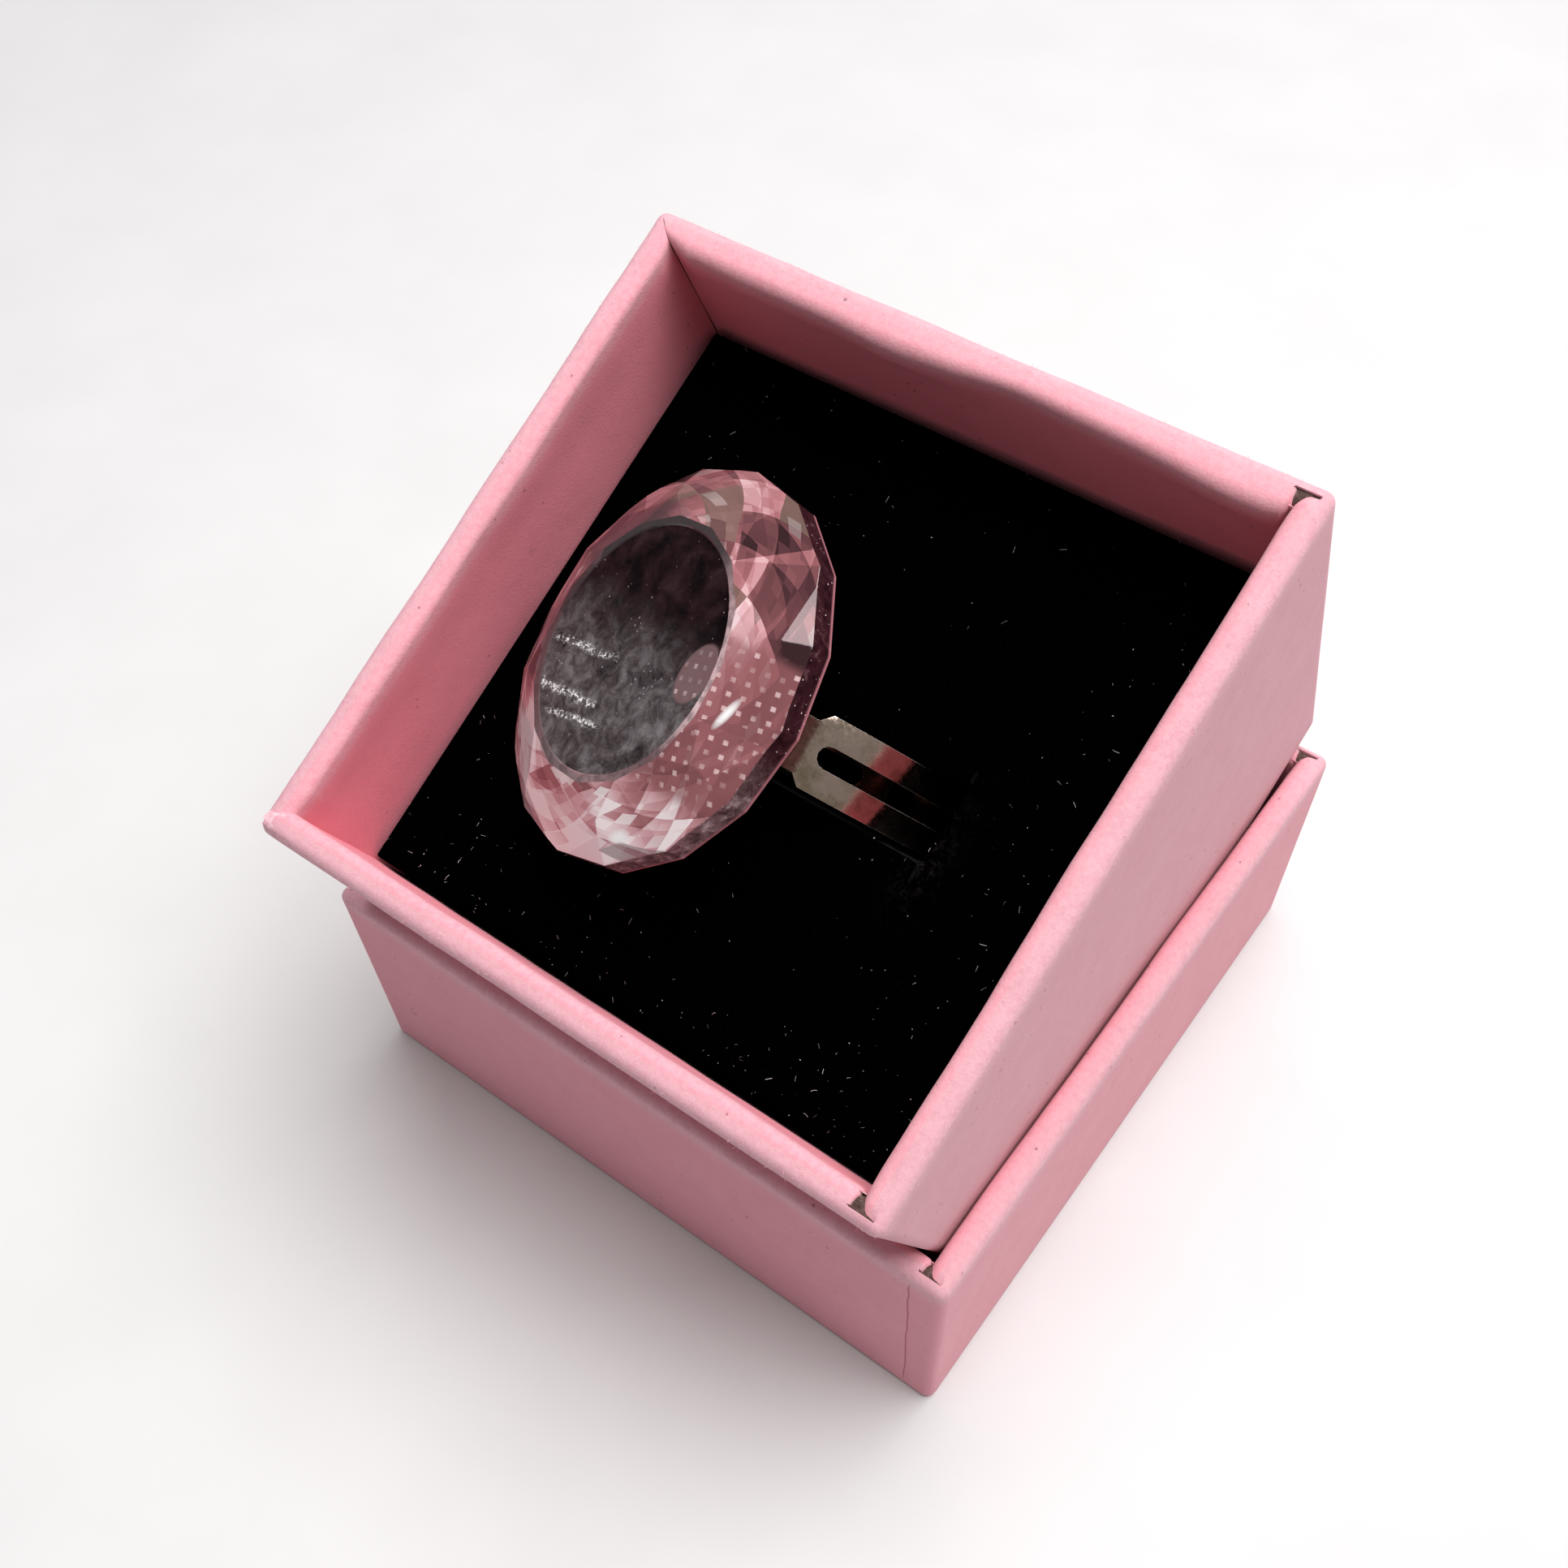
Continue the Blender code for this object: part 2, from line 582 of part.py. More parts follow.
PARTS, CUTTERS = empty_scene()
tray("lid", LID_SIDE, LID_HEIGHT, LID_HEIGHT - FLOOR - TURN_IN_GAP)
base_frame = new_frame("base_rest", base_rest_place())
tray("base", BASE_SIDE, BASE_HEIGHT, BASE_TURN_IN, base_frame)
insert_frame = new_frame("insert_rest", Matrix(), base_frame)
foam_pad(insert_frame)
velvet_cover(insert_frame)
ring_frame = new_frame("ring_rest", ring_place(), insert_frame)
ring(ring_frame)
bpy.context.view_layer.update()
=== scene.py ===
"""How the paper-wrapped ring box and its crystal ring look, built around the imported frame.

Units are metres, +Z is up. The base leans in its upturned lid and the ring leans in its pad, so each
has a place: a matrix from its own upright frame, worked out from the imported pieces.
"""
import json
import math
import random
from collections import namedtuple

import bmesh
import bpy
import numpy as np
from mathutils import Matrix, Vector, noise


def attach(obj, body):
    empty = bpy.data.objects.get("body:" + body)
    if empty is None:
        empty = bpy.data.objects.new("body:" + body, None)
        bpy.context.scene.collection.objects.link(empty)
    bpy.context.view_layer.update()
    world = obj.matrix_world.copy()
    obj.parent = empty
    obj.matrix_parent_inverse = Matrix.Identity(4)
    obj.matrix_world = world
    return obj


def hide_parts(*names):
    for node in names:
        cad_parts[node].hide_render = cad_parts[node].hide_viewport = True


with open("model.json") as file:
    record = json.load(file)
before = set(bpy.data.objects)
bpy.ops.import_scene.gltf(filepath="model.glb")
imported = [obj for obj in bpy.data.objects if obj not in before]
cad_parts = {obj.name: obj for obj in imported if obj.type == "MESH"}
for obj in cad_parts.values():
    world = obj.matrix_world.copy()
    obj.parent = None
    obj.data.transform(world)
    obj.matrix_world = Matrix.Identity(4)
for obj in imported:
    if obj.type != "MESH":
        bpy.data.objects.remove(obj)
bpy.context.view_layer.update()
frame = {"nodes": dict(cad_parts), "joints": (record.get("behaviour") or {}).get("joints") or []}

MM = 0.001

# Paper and board, as the box is made
PAPER = 0.14 * MM
VELVET = 0.55 * MM
LINER_MARGIN = 0.35 * MM
BASE_TURN_IN = 14.0 * MM
TURN_IN_GAP = 0.3 * MM
CORNER_RADIUS = 0.7 * MM
UNDER_FOLD = 0.55 * MM           # fold round the underside
RIM_FOLD = 0.78 * MM             # outer fold over the rim
INNER_FOLD = 0.62 * MM           # the fold down into the tray
VELVET_FOLD = 1.2 * MM           # the velvet's fold over the foam's edge
OUTSIDE_PITCH = 1.1 * MM         # between the paper's rows on a wall
INSIDE_PITCH = 0.9 * MM
TUCK_STRIP = 0.72 * MM           # paper that still runs round a tucked corner
CRACK = 0.035 * MM               # half the gap where two flaps meet
SEAM_REACH = 2.35 * MM           # side flap's edge to its corner, under the front and back walls
SEAM_STEP = 0.085 * MM
# The dark seam line is a painted shadow where the front and back flaps step over the side flaps' edges
SEAM_LINE = 0.03 * MM            # half the dark line's width
SEAM_GROOVE = 0.10 * MM
END_ZONE = 3.6 * MM              # stretch of each flap that its cut ends shape
CUT_ZONE = 0.25 * MM             # the same where a flap is cut square
SKEW_CUT = 0.20 * MM             # a cut end's paper parts where its rows differ by more
SKEW_TORN = 0.80 * MM
# A fold is paled by scuffing and a painted highlight; a torn edge is paler still from its torn fibres
TORN_SCUFF = 3.0                 # how much more a torn edge is scuffed than a fold
UNDER_FLAP_DROP = 9.0 * MM       # side flaps' ends, seen in the gaps at the inner corners
UNDER_FLAP_REACH = 1.35 * MM
TUCKED = ((0, 1), (2, -1))       # walls and ends where such a gap shows

Row = namedtuple("Row", "depth up out rise zone")      # a line of paper: its place and its facing
End = namedtuple("End", "style hole")                  # how a flap's end is cut, and the hole it leaves
Flap = namedtuple("Flap", "left right slack")          # a wall's flap; slack is how far it hangs loose
Tray = namedtuple("Tray", "place half height wall foot seed")

# Walls in order: front, right, back, left
SHORT_SLACK = 0.24 * MM
FULL = Flap(End("full", 0), End("full", 0), SHORT_SLACK)
BASE_FLAPS = (Flap(End("torn", 0), End("short", 0.42 * MM), SHORT_SLACK), FULL,
              Flap(End("short", 0.30 * MM), End("mitre", 0), 0.95 * MM),
              Flap(End("mitre", 0), End("mitre", 0), 0.34 * MM))
LID_FLAPS = (Flap(End("mitre", 0), End("short", 0.25 * MM), SHORT_SLACK), FULL,
             Flap(End("short", 0.30 * MM), End("mitre", 0), SHORT_SLACK),
             Flap(End("mitre", 0), End("mitre", 0), SHORT_SLACK))
# Painted shade and bounce: how far each zone's paper turns a deeper, redder rose, where the tray's walls
# shade and light each other
PAINTED_SHADE_SHARE = {"inside": 0.85, "inner_fold": 0.45, "rim": 0.0}     # the rest have the wrap's own
LID_PAINTED_SHADE = 0.25

# Ring, heights from the middle of its band
TABLE = 16.608 * MM
GIRDLE_HIGH = 14.508 * MM
GIRDLE_LOW = 13.008 * MM
PAD_TOP = 10.258 * MM
DISC_RADIUS = 7.75 * MM
DISC_SINK = 0.07 * MM
PAD_DOTS_ACROSS = 15
PAD_DOTS = {"Pitch": 0.85 * MM, "Dot Radius": 0.2 * MM, "Dot Height": 0.06 * MM,
            "Plate Radius": 6.1 * MM}

# Slot in the pad
SLOT_LENGTH = 22.88 * MM
SLOT_WIDTH = 5.5 * MM
CROSS_CUT_LENGTH = 8.0 * MM
CROSS_CUT_WIDTH = 0.6 * MM

# Stage
FLOOR_HALF = 3.0
SURROUND_STRENGTH = 0.19
LIGHT_PLACE = Vector((0.085, 0.09, 0.50))
LIGHT_TARGET = Vector((0, 0, 0.02))
LIGHT_SIZE = 0.44
LIGHT_POWER = 4.0
CAMERA_PLACE = (0.04006, -0.05622, 0.10881)
CAMERA_TURN = (33.628, 1.580, 36.487)
CAMERA_SHIFT = (-0.0037, 0.0945)
FOCAL_LENGTH = 37.09
SENSOR_WIDTH = 36.0


# Places

def axis_of(joint):
    """Direction in which a joint slides."""
    return Vector(next(j["axis"] for j in frame["joints"] if j["name"] == joint)).normalized()


def lean_of(axis):
    """Turn about X that carries +Z onto an axis in the YZ plane."""
    return Matrix.Rotation(math.atan2(-axis.y, axis.z), 3, "X")


def points_of(node):
    """A node's separate corners."""
    corners = np.array([v.co for v in frame["nodes"][node].data.vertices], float)
    return np.unique(corners.round(8), axis=0)


def extent(node, turn=Matrix.Identity(3)):
    """Lowest and highest corners of a node, measured along a turned frame's axes."""
    turned = points_of(node) @ np.array(turn)
    return Vector(turned.min(0)), Vector(turned.max(0))


def standing_place(node, turn):
    """Frame of an upright piece: the middle of its underside, with its own turn."""
    low, high = extent(node, turn)
    middle = Vector(((low.x + high.x) / 2, (low.y + high.y) / 2, low.z))
    return Matrix.Translation(turn @ middle) @ turn.to_4x4()


def ring_place():
    """Frame of the ring: the middle of the band, with +Z through the stone."""
    lift = axis_of("ring_lift")
    across = Vector((0, lift.z, -lift.y))
    pad = Vector(points_of("ring_pad").mean(0))
    cement = Vector(points_of("crystal_cement").mean(0))
    up = (cement - pad).normalized()
    along = across.cross(up).normalized()
    turn = Matrix((along, across, up)).transposed()
    top = extent("crystal", turn)[1].z
    middle = pad + up * (top - TABLE - pad.dot(up))
    return Matrix.Translation(middle) @ turn.to_4x4()


BASE_TURN = lean_of(axis_of("insert_lift"))
BASE = standing_place("base_wrap", BASE_TURN)
LID = standing_place("lid_wrap", Matrix.Identity(3))
RING = ring_place()


def size_in(node, place):
    """Lowest and highest corners of a node in a place's own frame."""
    turn = place.to_3x3()
    origin = turn.transposed() @ place.translation
    low, high = extent(node, turn)
    return low - origin, high - origin


# Materials: sockets in expressions, and one method for every other node

class Wire:
    """A node's output. Used in an expression, it adds the Math nodes."""

    def __init__(self, tree, socket):
        self.tree = tree
        self.socket = socket

    def maths(self, operation, *others):
        """A Math node whose first value is this one."""
        return self.tree.maths(operation, self, *others)

    def __add__(self, other):
        return self.maths("ADD", other)

    def __sub__(self, other):
        return self.maths("SUBTRACT", other)

    def __rsub__(self, other):
        return self.tree.maths("SUBTRACT", other, self)

    def __mul__(self, other):
        return self.maths("MULTIPLY", other)

    def __truediv__(self, other):
        return self.maths("DIVIDE", other)

    def __lt__(self, other):
        return self.maths("LESS_THAN", other)

    def __gt__(self, other):
        return self.maths("GREATER_THAN", other)

    __radd__ = __add__
    __rmul__ = __mul__


class Tree:
    """A node tree with one method that adds any node."""

    def __init__(self, nodes):
        self.nodes = nodes

    def node(self, kind, settings=None, inputs=None, output=0):
        made = self.nodes.nodes.new(kind)
        for key, value in (settings or {}).items():
            if key == "stops":
                self.set_stops(made.color_ramp, value)
            else:
                setattr(made, key, value)
        for key, value in (inputs or {}).items():
            if isinstance(value, Wire):
                self.nodes.links.new(value.socket, made.inputs[key])
            else:
                made.inputs[key].default_value = value
        return Wire(self, made.outputs[output])

    def maths(self, operation, *values):
        return self.node("ShaderNodeMath", {"operation": operation}, dict(enumerate(values)))

    def outputs(self, wire):
        """Every output of a wire's node, by name."""
        return {socket.name: Wire(self, socket) for socket in wire.socket.node.outputs}

    @staticmethod
    def set_stops(ramp, stops):
        """A ramp's stops, as pairs of a position and a colour."""
        while len(ramp.elements) < len(stops):
            ramp.elements.new(1.0)
        for element, (position, colour) in zip(ramp.elements, stops):
            element.position = position
            element.color = (*colour, 1.0)


class Finish(Tree):
    """A material: its tree, its shader and the patterns that several finishes share."""

    def __init__(self, name, **constants):
        self.material = bpy.data.materials.new(name)
        self.material.use_nodes = True
        super().__init__(self.material.node_tree)
        self.shader = self.nodes.nodes["Principled BSDF"]
        for key, value in constants.items():
            self.shader.inputs[key.replace("_", " ")].default_value = value
        self.where = self.node("ShaderNodeTexCoord", output="Object")

    def feed(self, **wires):
        """Connects what varies to the shader."""
        for key, wire in wires.items():
            self.nodes.links.new(wire.socket, self.shader.inputs[key.replace("_", " ")])
        return self.material

    def place(self, frame_place):
        """Coordinates in a piece's own upright frame, in millimetres."""
        scale = 1 / MM
        turn = frame_place.to_3x3().transposed()
        shift = turn @ frame_place.translation * -scale
        return self.node("ShaderNodeMapping", None, {
            "Vector": self.where, "Location": shift, "Rotation": turn.to_euler(),
            "Scale": (scale, scale, scale)})

    def grain(self, scale, detail=4.0, rough=0.55, where=None, distortion=0.0):
        """Soft noise; scale is its number of waves in a unit of its coordinates."""
        return self.node("ShaderNodeTexNoise", None, {
            "Vector": where or self.where, "Scale": scale, "Detail": detail, "Roughness": rough,
            "Distortion": distortion})

    def cells(self, scale, where=None):
        """Distance to scattered points."""
        return self.node("ShaderNodeTexVoronoi", None, {"Vector": where or self.where, "Scale": scale})

    def ramp(self, wire, *stops):
        """Colours along a value."""
        return self.node("ShaderNodeValToRGB", {"stops": stops}, {0: wire})

    def between(self, wire, low, high, to_low=0.0, to_high=1.0):
        """A value brought from one range to another, held at its ends, with a soft step."""
        return self.node("ShaderNodeMapRange", {"interpolation_type": "SMOOTHSTEP"}, {
            "Value": wire, "From Min": low, "From Max": high, "To Min": to_low, "To Max": to_high})

    def band(self, wire, start, rise, fall, end):
        """One between two places along a value, fading to nothing outside them."""
        return self.between(wire, start, rise) * self.between(wire, fall, end, 1.0, 0.0)

    def mix(self, share, first, second):
        """Mixes two colours; each is a wire or three numbers."""
        first, second = (colour if isinstance(colour, Wire) else (*colour, 1.0)
                         for colour in (first, second))
        return self.node("ShaderNodeMix", {"data_type": "RGBA"}, {0: share, 6: first, 7: second}, 2)

    def bump(self, height, distance, strength=1.0, normal=None):
        """Raised detail, its height given in metres."""
        inputs = {"Height": height, "Distance": distance, "Strength": strength}
        if normal:
            inputs["Normal"] = normal
        return self.node("ShaderNodeBump", None, inputs)

    def parts(self, vector):
        """The three numbers of a vector."""
        return list(self.outputs(self.node("ShaderNodeSeparateXYZ", None, {0: vector})).values())

    def attribute(self, name):
        """A number kept on the mesh."""
        return self.node("ShaderNodeAttribute", {"attribute_name": name}, None, "Fac")


class Maker(Tree):
    """A Geometry Nodes tree with named sizes, which ends by baking what it makes."""

    def __init__(self, name, *labels):
        super().__init__(bpy.data.node_groups.new(name, "GeometryNodeTree"))
        face = self.nodes.interface
        face.new_socket("Geometry", in_out="INPUT", socket_type="NodeSocketGeometry")
        self.sockets = {label: face.new_socket(
            label, in_out="INPUT", socket_type="NodeSocketFloat").identifier for label in labels}
        face.new_socket("Geometry", in_out="OUTPUT", socket_type="NodeSocketGeometry")
        self.given = self.outputs(self.node("NodeGroupInput"))

    def bake(self, name, surface, instances, material, sizes):
        """Runs the tree on a surface with these sizes; returns one plain mesh."""
        real = self.node("GeometryNodeRealizeInstances", None, {"Geometry": instances})
        painted = self.node("GeometryNodeSetMaterial", None, {"Geometry": real, "Material": material})
        end = self.nodes.nodes.new("NodeGroupOutput")
        self.nodes.links.new(painted.socket, end.inputs[0])
        carrier = new_object(name + "_carrier", surface)
        modifier = carrier.modifiers.new("maker", "NODES")
        modifier.node_group = self.nodes
        for label, value in sizes.items():
            modifier[self.sockets[label]] = value
        return evaluated_mesh(carrier, name)


# Colours that several finishes or patterns share
# White of the painted glints on the stone, and of the painted highlights on its scratches
GLINT_WHITE = (1.0, 0.98, 0.98)
# Rose of the stone's painted reflections
STONE_ROSE = (0.30, 0.105, 0.115)
PINK = (0.735, 0.365, 0.420)
PINK_SHADE = (0.710, 0.340, 0.395)
PINK_PALE = (0.82, 0.445, 0.50)
# Painted shade and bounce: the deeper, redder rose inside the trays and on the lid
PAINTED_SHADE_ROSE = (0.95, 0.265, 0.335)


def pink_paper():
    """Uncoated dyed paper: cloudy pulp, fine tooth, dark specks, folds that are scuffed and carry a painted
    highlight, a painted shadow line at the seams, and painted shade and bounce inside the trays and on the
    lid.
    """
    paper = Finish("pink_paper", Specular_IOR_Level=0.18, Sheen_Weight=0.12, Sheen_Roughness=0.5)
    cloud = paper.between(paper.grain(420, 5, 0.6), 0.35, 0.68)
    colour = paper.mix(cloud, PINK_SHADE, PINK)
    pulp = paper.between(paper.grain(3800, 3, 0.7), 0.45, 0.75)
    colour = paper.mix(pulp * 0.28, colour, PINK_PALE)
    # Painted shade and bounce: deeper, redder paper inside the trays and on the lid
    colour = paper.mix(paper.attribute("deep"), colour, PAINTED_SHADE_ROSE)
    # Paler along the rim's folds: scuffing, and a painted highlight where the light falls on the rim
    scuff = paper.attribute("scuff")
    rubbed = scuff * paper.between(paper.grain(2600, 4, 0.75), 0.36, 0.60)
    colour = paper.mix(scuff * 0.18, colour, (0.86, 0.49, 0.555))
    colour = paper.mix(rubbed * 0.26, colour, (0.93, 0.62, 0.67))
    # Painted shadow: a dark line along each seam
    colour = paper.mix(paper.attribute("seam"), colour, (0.33, 0.10, 0.13))
    size = paper.between(paper.grain(160, 2), 0.4, 0.65, 0.03, 0.085)
    speck = paper.cells(700) < size
    colour = paper.mix(speck * 0.55, colour, (0.22, 0.08, 0.09))
    blot = paper.between(paper.cells(95), 0.02, 0.07, 1.0, 0.0)
    blot = blot * paper.between(paper.grain(1500, 3), 0.5, 0.6)
    colour = paper.mix(blot * 0.25, colour, (0.40, 0.15, 0.18))
    tooth = paper.grain(6500, 5, 0.7)
    bump = paper.bump(tooth, 0.05 * MM, 0.75)
    bump = paper.bump(paper.grain(240, 2), 0.12 * MM, 0.6, bump)
    rough = paper.between(tooth, 0.3, 0.7, 0.78, 0.95)
    return paper.feed(Base_Color=colour, Roughness=rough, Normal=bump)


def grey_board():
    """Recycled board: pressed layers with loose brown fibres."""
    board = Finish("grey_board", Roughness=0.95)
    layers = board.grain(2600, 4, 0.7)
    fibres = board.cells(2200)
    colour = board.ramp(layers, (0.3, (0.035, 0.017, 0.014)), (0.5, (0.085, 0.045, 0.038)),
                        (0.72, (0.16, 0.10, 0.085)))
    colour = board.mix(board.between(fibres, 0.05, 0.3, 0.45, 0.0), colour, (0.24, 0.16, 0.135))
    return board.feed(Base_Color=colour, Normal=board.bump(layers, 0.12 * MM))


def stay_paper():
    """Brown gummed tape."""
    tape = Finish("stay_paper", Roughness=0.7)
    cloud = tape.grain(900, 4, 0.65)
    colour = tape.ramp(cloud, (0.35, (0.36, 0.24, 0.14)), (0.7, (0.60, 0.44, 0.28)))
    fleck = tape.between(tape.cells(1500), 0.03, 0.09, 0.5, 0.0)
    colour = tape.mix(fleck, colour, (0.22, 0.14, 0.08))
    return tape.feed(Base_Color=colour, Normal=tape.bump(tape.grain(5200, 3), 0.03 * MM))


def sponge():
    """Open-celled black foam."""
    foam = Finish("sponge", Roughness=0.96, Specular_IOR_Level=0.04)
    pores = foam.cells(1900)
    colour = foam.ramp(pores, (0.05, (0.001, 0.001, 0.001)), (0.45, (0.006, 0.006, 0.007)))
    return foam.feed(Base_Color=colour, Normal=foam.bump(pores, 0.25 * MM))


def black_velvet():
    """Short black pile that drinks the light, brushed in soft patches."""
    pile = Finish("black_velvet", Roughness=1.0, Specular_IOR_Level=0.0)
    brushed = pile.grain(260, 3, 0.6)
    tufts = pile.grain(5200, 3, 0.75)
    colour = pile.ramp(tufts, (0.42, (0.0001, 0.0001, 0.0001)), (0.80, (0.0012, 0.0010, 0.0011)))
    colour = pile.mix(pile.between(brushed, 0.50, 0.75) * 0.6, colour, (0.0006, 0.0005, 0.0005))
    # Greyer along the raised lip of the slot
    lip_grey = pile.attribute("lip") * pile.between(pile.grain(1700, 4, 0.8), 0.48, 0.70)
    colour = pile.mix(lip_grey, colour, (0.014, 0.011, 0.012))
    return pile.feed(Base_Color=colour, Normal=pile.bump(tufts, 0.15 * MM))


def lint():
    """Pale dust and fibres."""
    dust = Finish("lint", Roughness=0.9)
    colour = dust.ramp(dust.grain(900, 2), (0.35, (0.16, 0.14, 0.14)), (0.65, (0.62, 0.57, 0.56)))
    return dust.feed(Base_Color=colour)


def paper_fibre():
    """Loose fibres of the pink paper."""
    fibre = Finish("paper_fibre", Roughness=0.9)
    colour = fibre.ramp(fibre.grain(1200, 2), (0.4, (0.86, 0.42, 0.49)), (0.7, (0.96, 0.66, 0.70)))
    return fibre.feed(Base_Color=colour)


def silver(name, tint, rough, metallic=1.0):
    """Plated metal with rub marks, and a darker mottle that is partly tarnish and partly painted
    reflection.
    """
    metal = Finish(name, Metallic=metallic)
    # Darker mottle: partly tarnish, partly painted reflection of a dim room
    bloom_and_reflection = metal.between(metal.grain(700, 4, 0.65), 0.4, 0.7)
    colour = metal.mix(bloom_and_reflection, tint, (0.60 * tint[0], 0.62 * tint[1], 0.52 * tint[2]))
    pit = metal.between(metal.cells(1500), 0.03, 0.10, 0.6, 0.0)
    colour = metal.mix(pit * bloom_and_reflection, colour, (0.10, 0.08, 0.09))
    rubs = metal.grain(5200, 3, 0.6)
    varied = metal.between(rubs, 0.3, 0.75, rough * 0.7, rough * 1.6)
    return metal.feed(Base_Color=colour, Roughness=varied, Normal=metal.bump(rubs, 0.004 * MM))


def clear_cement():
    """Cloudy glue with trapped bubbles."""
    glue = Finish("clear_cement", Roughness=0.25, Transmission_Weight=0.6)
    cloud = glue.between(glue.grain(900, 4), 0.4, 0.7)
    bubble = glue.between(glue.cells(1400), 0.08, 0.16, 1.0, 0.0)
    colour = glue.mix(cloud, (0.55, 0.40, 0.42), (0.86, 0.76, 0.77))
    colour = glue.mix(bubble * 0.7, colour, (0.98, 0.95, 0.95))
    return glue.feed(Base_Color=colour, Normal=glue.bump(bubble, 0.03 * MM))


def line_mask(finish, x, y, start, end, width, wobble):
    """A crinkled line between two points of the table, in millimetres."""
    slope = (end[1] - start[1]) / (end[0] - start[0])
    offset = y - (x - start[0]) * slope - start[1] + wobble
    near = finish.between(offset.maths("ABSOLUTE"), 0.0, width, 1.0, 0.0)
    return near * finish.band(x, start[0] - 0.4, start[0] + 0.6, end[0] - 0.8, end[0] + 0.3)


def dot_mask(finish, x, y, pitch, size):
    """A square grid of small dots, in millimetres."""
    across, down = (finish.between(part.maths("PINGPONG", pitch / 2), size * 0.6, size, 1.0, 0.0)
                    for part in (x, y))
    return across * down


def worn_disc():
    """The round face on the table: its darkness a painted reflection of dark surroundings, smeared and
    scratched, with painted highlights on the scratches, dust on it, and a painted view of the pad seen
    through it.
    """
    disc = Finish("worn_disc", Specular_IOR_Level=0.08)
    own = disc.place(RING)
    x, y, _ = disc.parts(own)
    smear = disc.grain(0.55, 4, 0.62, own, 0.4)
    # Painted reflection: the disc's dark plum
    plum = disc.ramp(smear, (0.36, (0.0035, 0.0012, 0.0018)), (0.56, (0.018, 0.007, 0.009)),
                     (0.74, (0.036, 0.018, 0.021)))
    hazy = disc.ramp(disc.grain(0.75, 5, 0.72, own, 0.5), (0.30, (0.010, 0.007, 0.008)),
                     (0.48, (0.075, 0.060, 0.063)), (0.70, (0.20, 0.18, 0.185)))
    lower = disc.between(y + disc.grain(0.3, 2, 0.5, own) * 3.0, -0.5, 5.0, 1.0, 0.0)
    colour = disc.mix(lower, plum, hazy)
    crinkle = disc.between(disc.grain(4.2, 3, 0.8, own), 0.47, 0.62)
    wobble = disc.grain(0.7, 4, 0.7, own) * 0.9 - 0.45
    # Painted highlights: crinkled white lines where light catches scratches
    for start, end, width in (((-7.3, -1.45), (-0.6, -0.75), 0.38),
                              ((-7.0, -4.3), (-0.2, -3.75), 0.42),
                              ((-4.6, -5.5), (0.9, -4.75), 0.34)):
        scratch_highlight = line_mask(disc, x, y, start, end, width, wobble) * crinkle
        colour = disc.mix(scratch_highlight, colour, GLINT_WHITE)
    dust = disc.cells(1.9, own) < disc.between(disc.grain(0.35, 2, 0.5, own), 0.4, 0.7, 0.03, 0.13)
    colour = disc.mix(dust * 0.6, colour, (0.42, 0.36, 0.38))
    # Painted view through the stone: the pad and its dots at the disc's right edge
    pad_seen_in_disc = disc.between(glint(x, y, (6.4, 0.5), (0.25, 0.97), 2.0, 1.4), 0.0, 0.25)
    colour = disc.mix(pad_seen_in_disc * 0.8, colour, (0.21, 0.12, 0.125))
    colour = disc.mix(pad_seen_in_disc * dotted(disc, x, y, 0.3) * 0.6, colour, (0.70, 0.56, 0.57))
    rough = disc.between(smear, 0.35, 0.7, 0.12, 0.42)
    return disc.feed(Base_Color=colour, Roughness=rough,
                     Normal=disc.bump(disc.grain(3.0, 4, 0.7, own), 0.01 * MM))


def around(finish, own):
    """A point's place, its distance from the ring's axis and its turn, 0 at the left."""
    x, y, z = finish.parts(own)
    return x, y, z, (x * x + y * y).maths("SQRT"), y.maths("ARCTAN2", x) / math.tau + 0.5


def facets(finish, first, second):
    """Three random numbers for each diamond between two sets of lines."""
    cell = finish.node("ShaderNodeCombineXYZ", None, {0: first.maths("FLOOR"), 1: second.maths("FLOOR")})
    return finish.parts(finish.node("ShaderNodeTexWhiteNoise", {"noise_dimensions": "2D"},
                                    {"Vector": cell}, "Color"))


def glint(x, y, middle, along, length, width):
    """A spindle-shaped mask on the stone, in millimetres, for painted highlights and painted views seen
    through it.
    """
    dx, dy = x - middle[0], y - middle[1]
    far = dx * (along[0] / length) + dy * (along[1] / length)
    off = dx * (-along[1] / width) + dy * (along[0] / width)
    return 1 - (far * far + off * off).maths("MINIMUM", 1.0)


def dotted(finish, x, y, shift):
    """A painted picture of the pad's raised dots, seen through the stone; each facet moves its own copy of
    it.
    """
    across = x * 0.98 + y * 0.17 + shift
    down = y * 0.98 - x * 0.17 + shift * 0.6
    seen = finish.between(finish.grain(0.7, 2, 0.5, finish.place(RING)), 0.38, 0.62, 0.25, 1.0)
    return dot_mask(finish, across, down, 0.80, 0.165) * seen


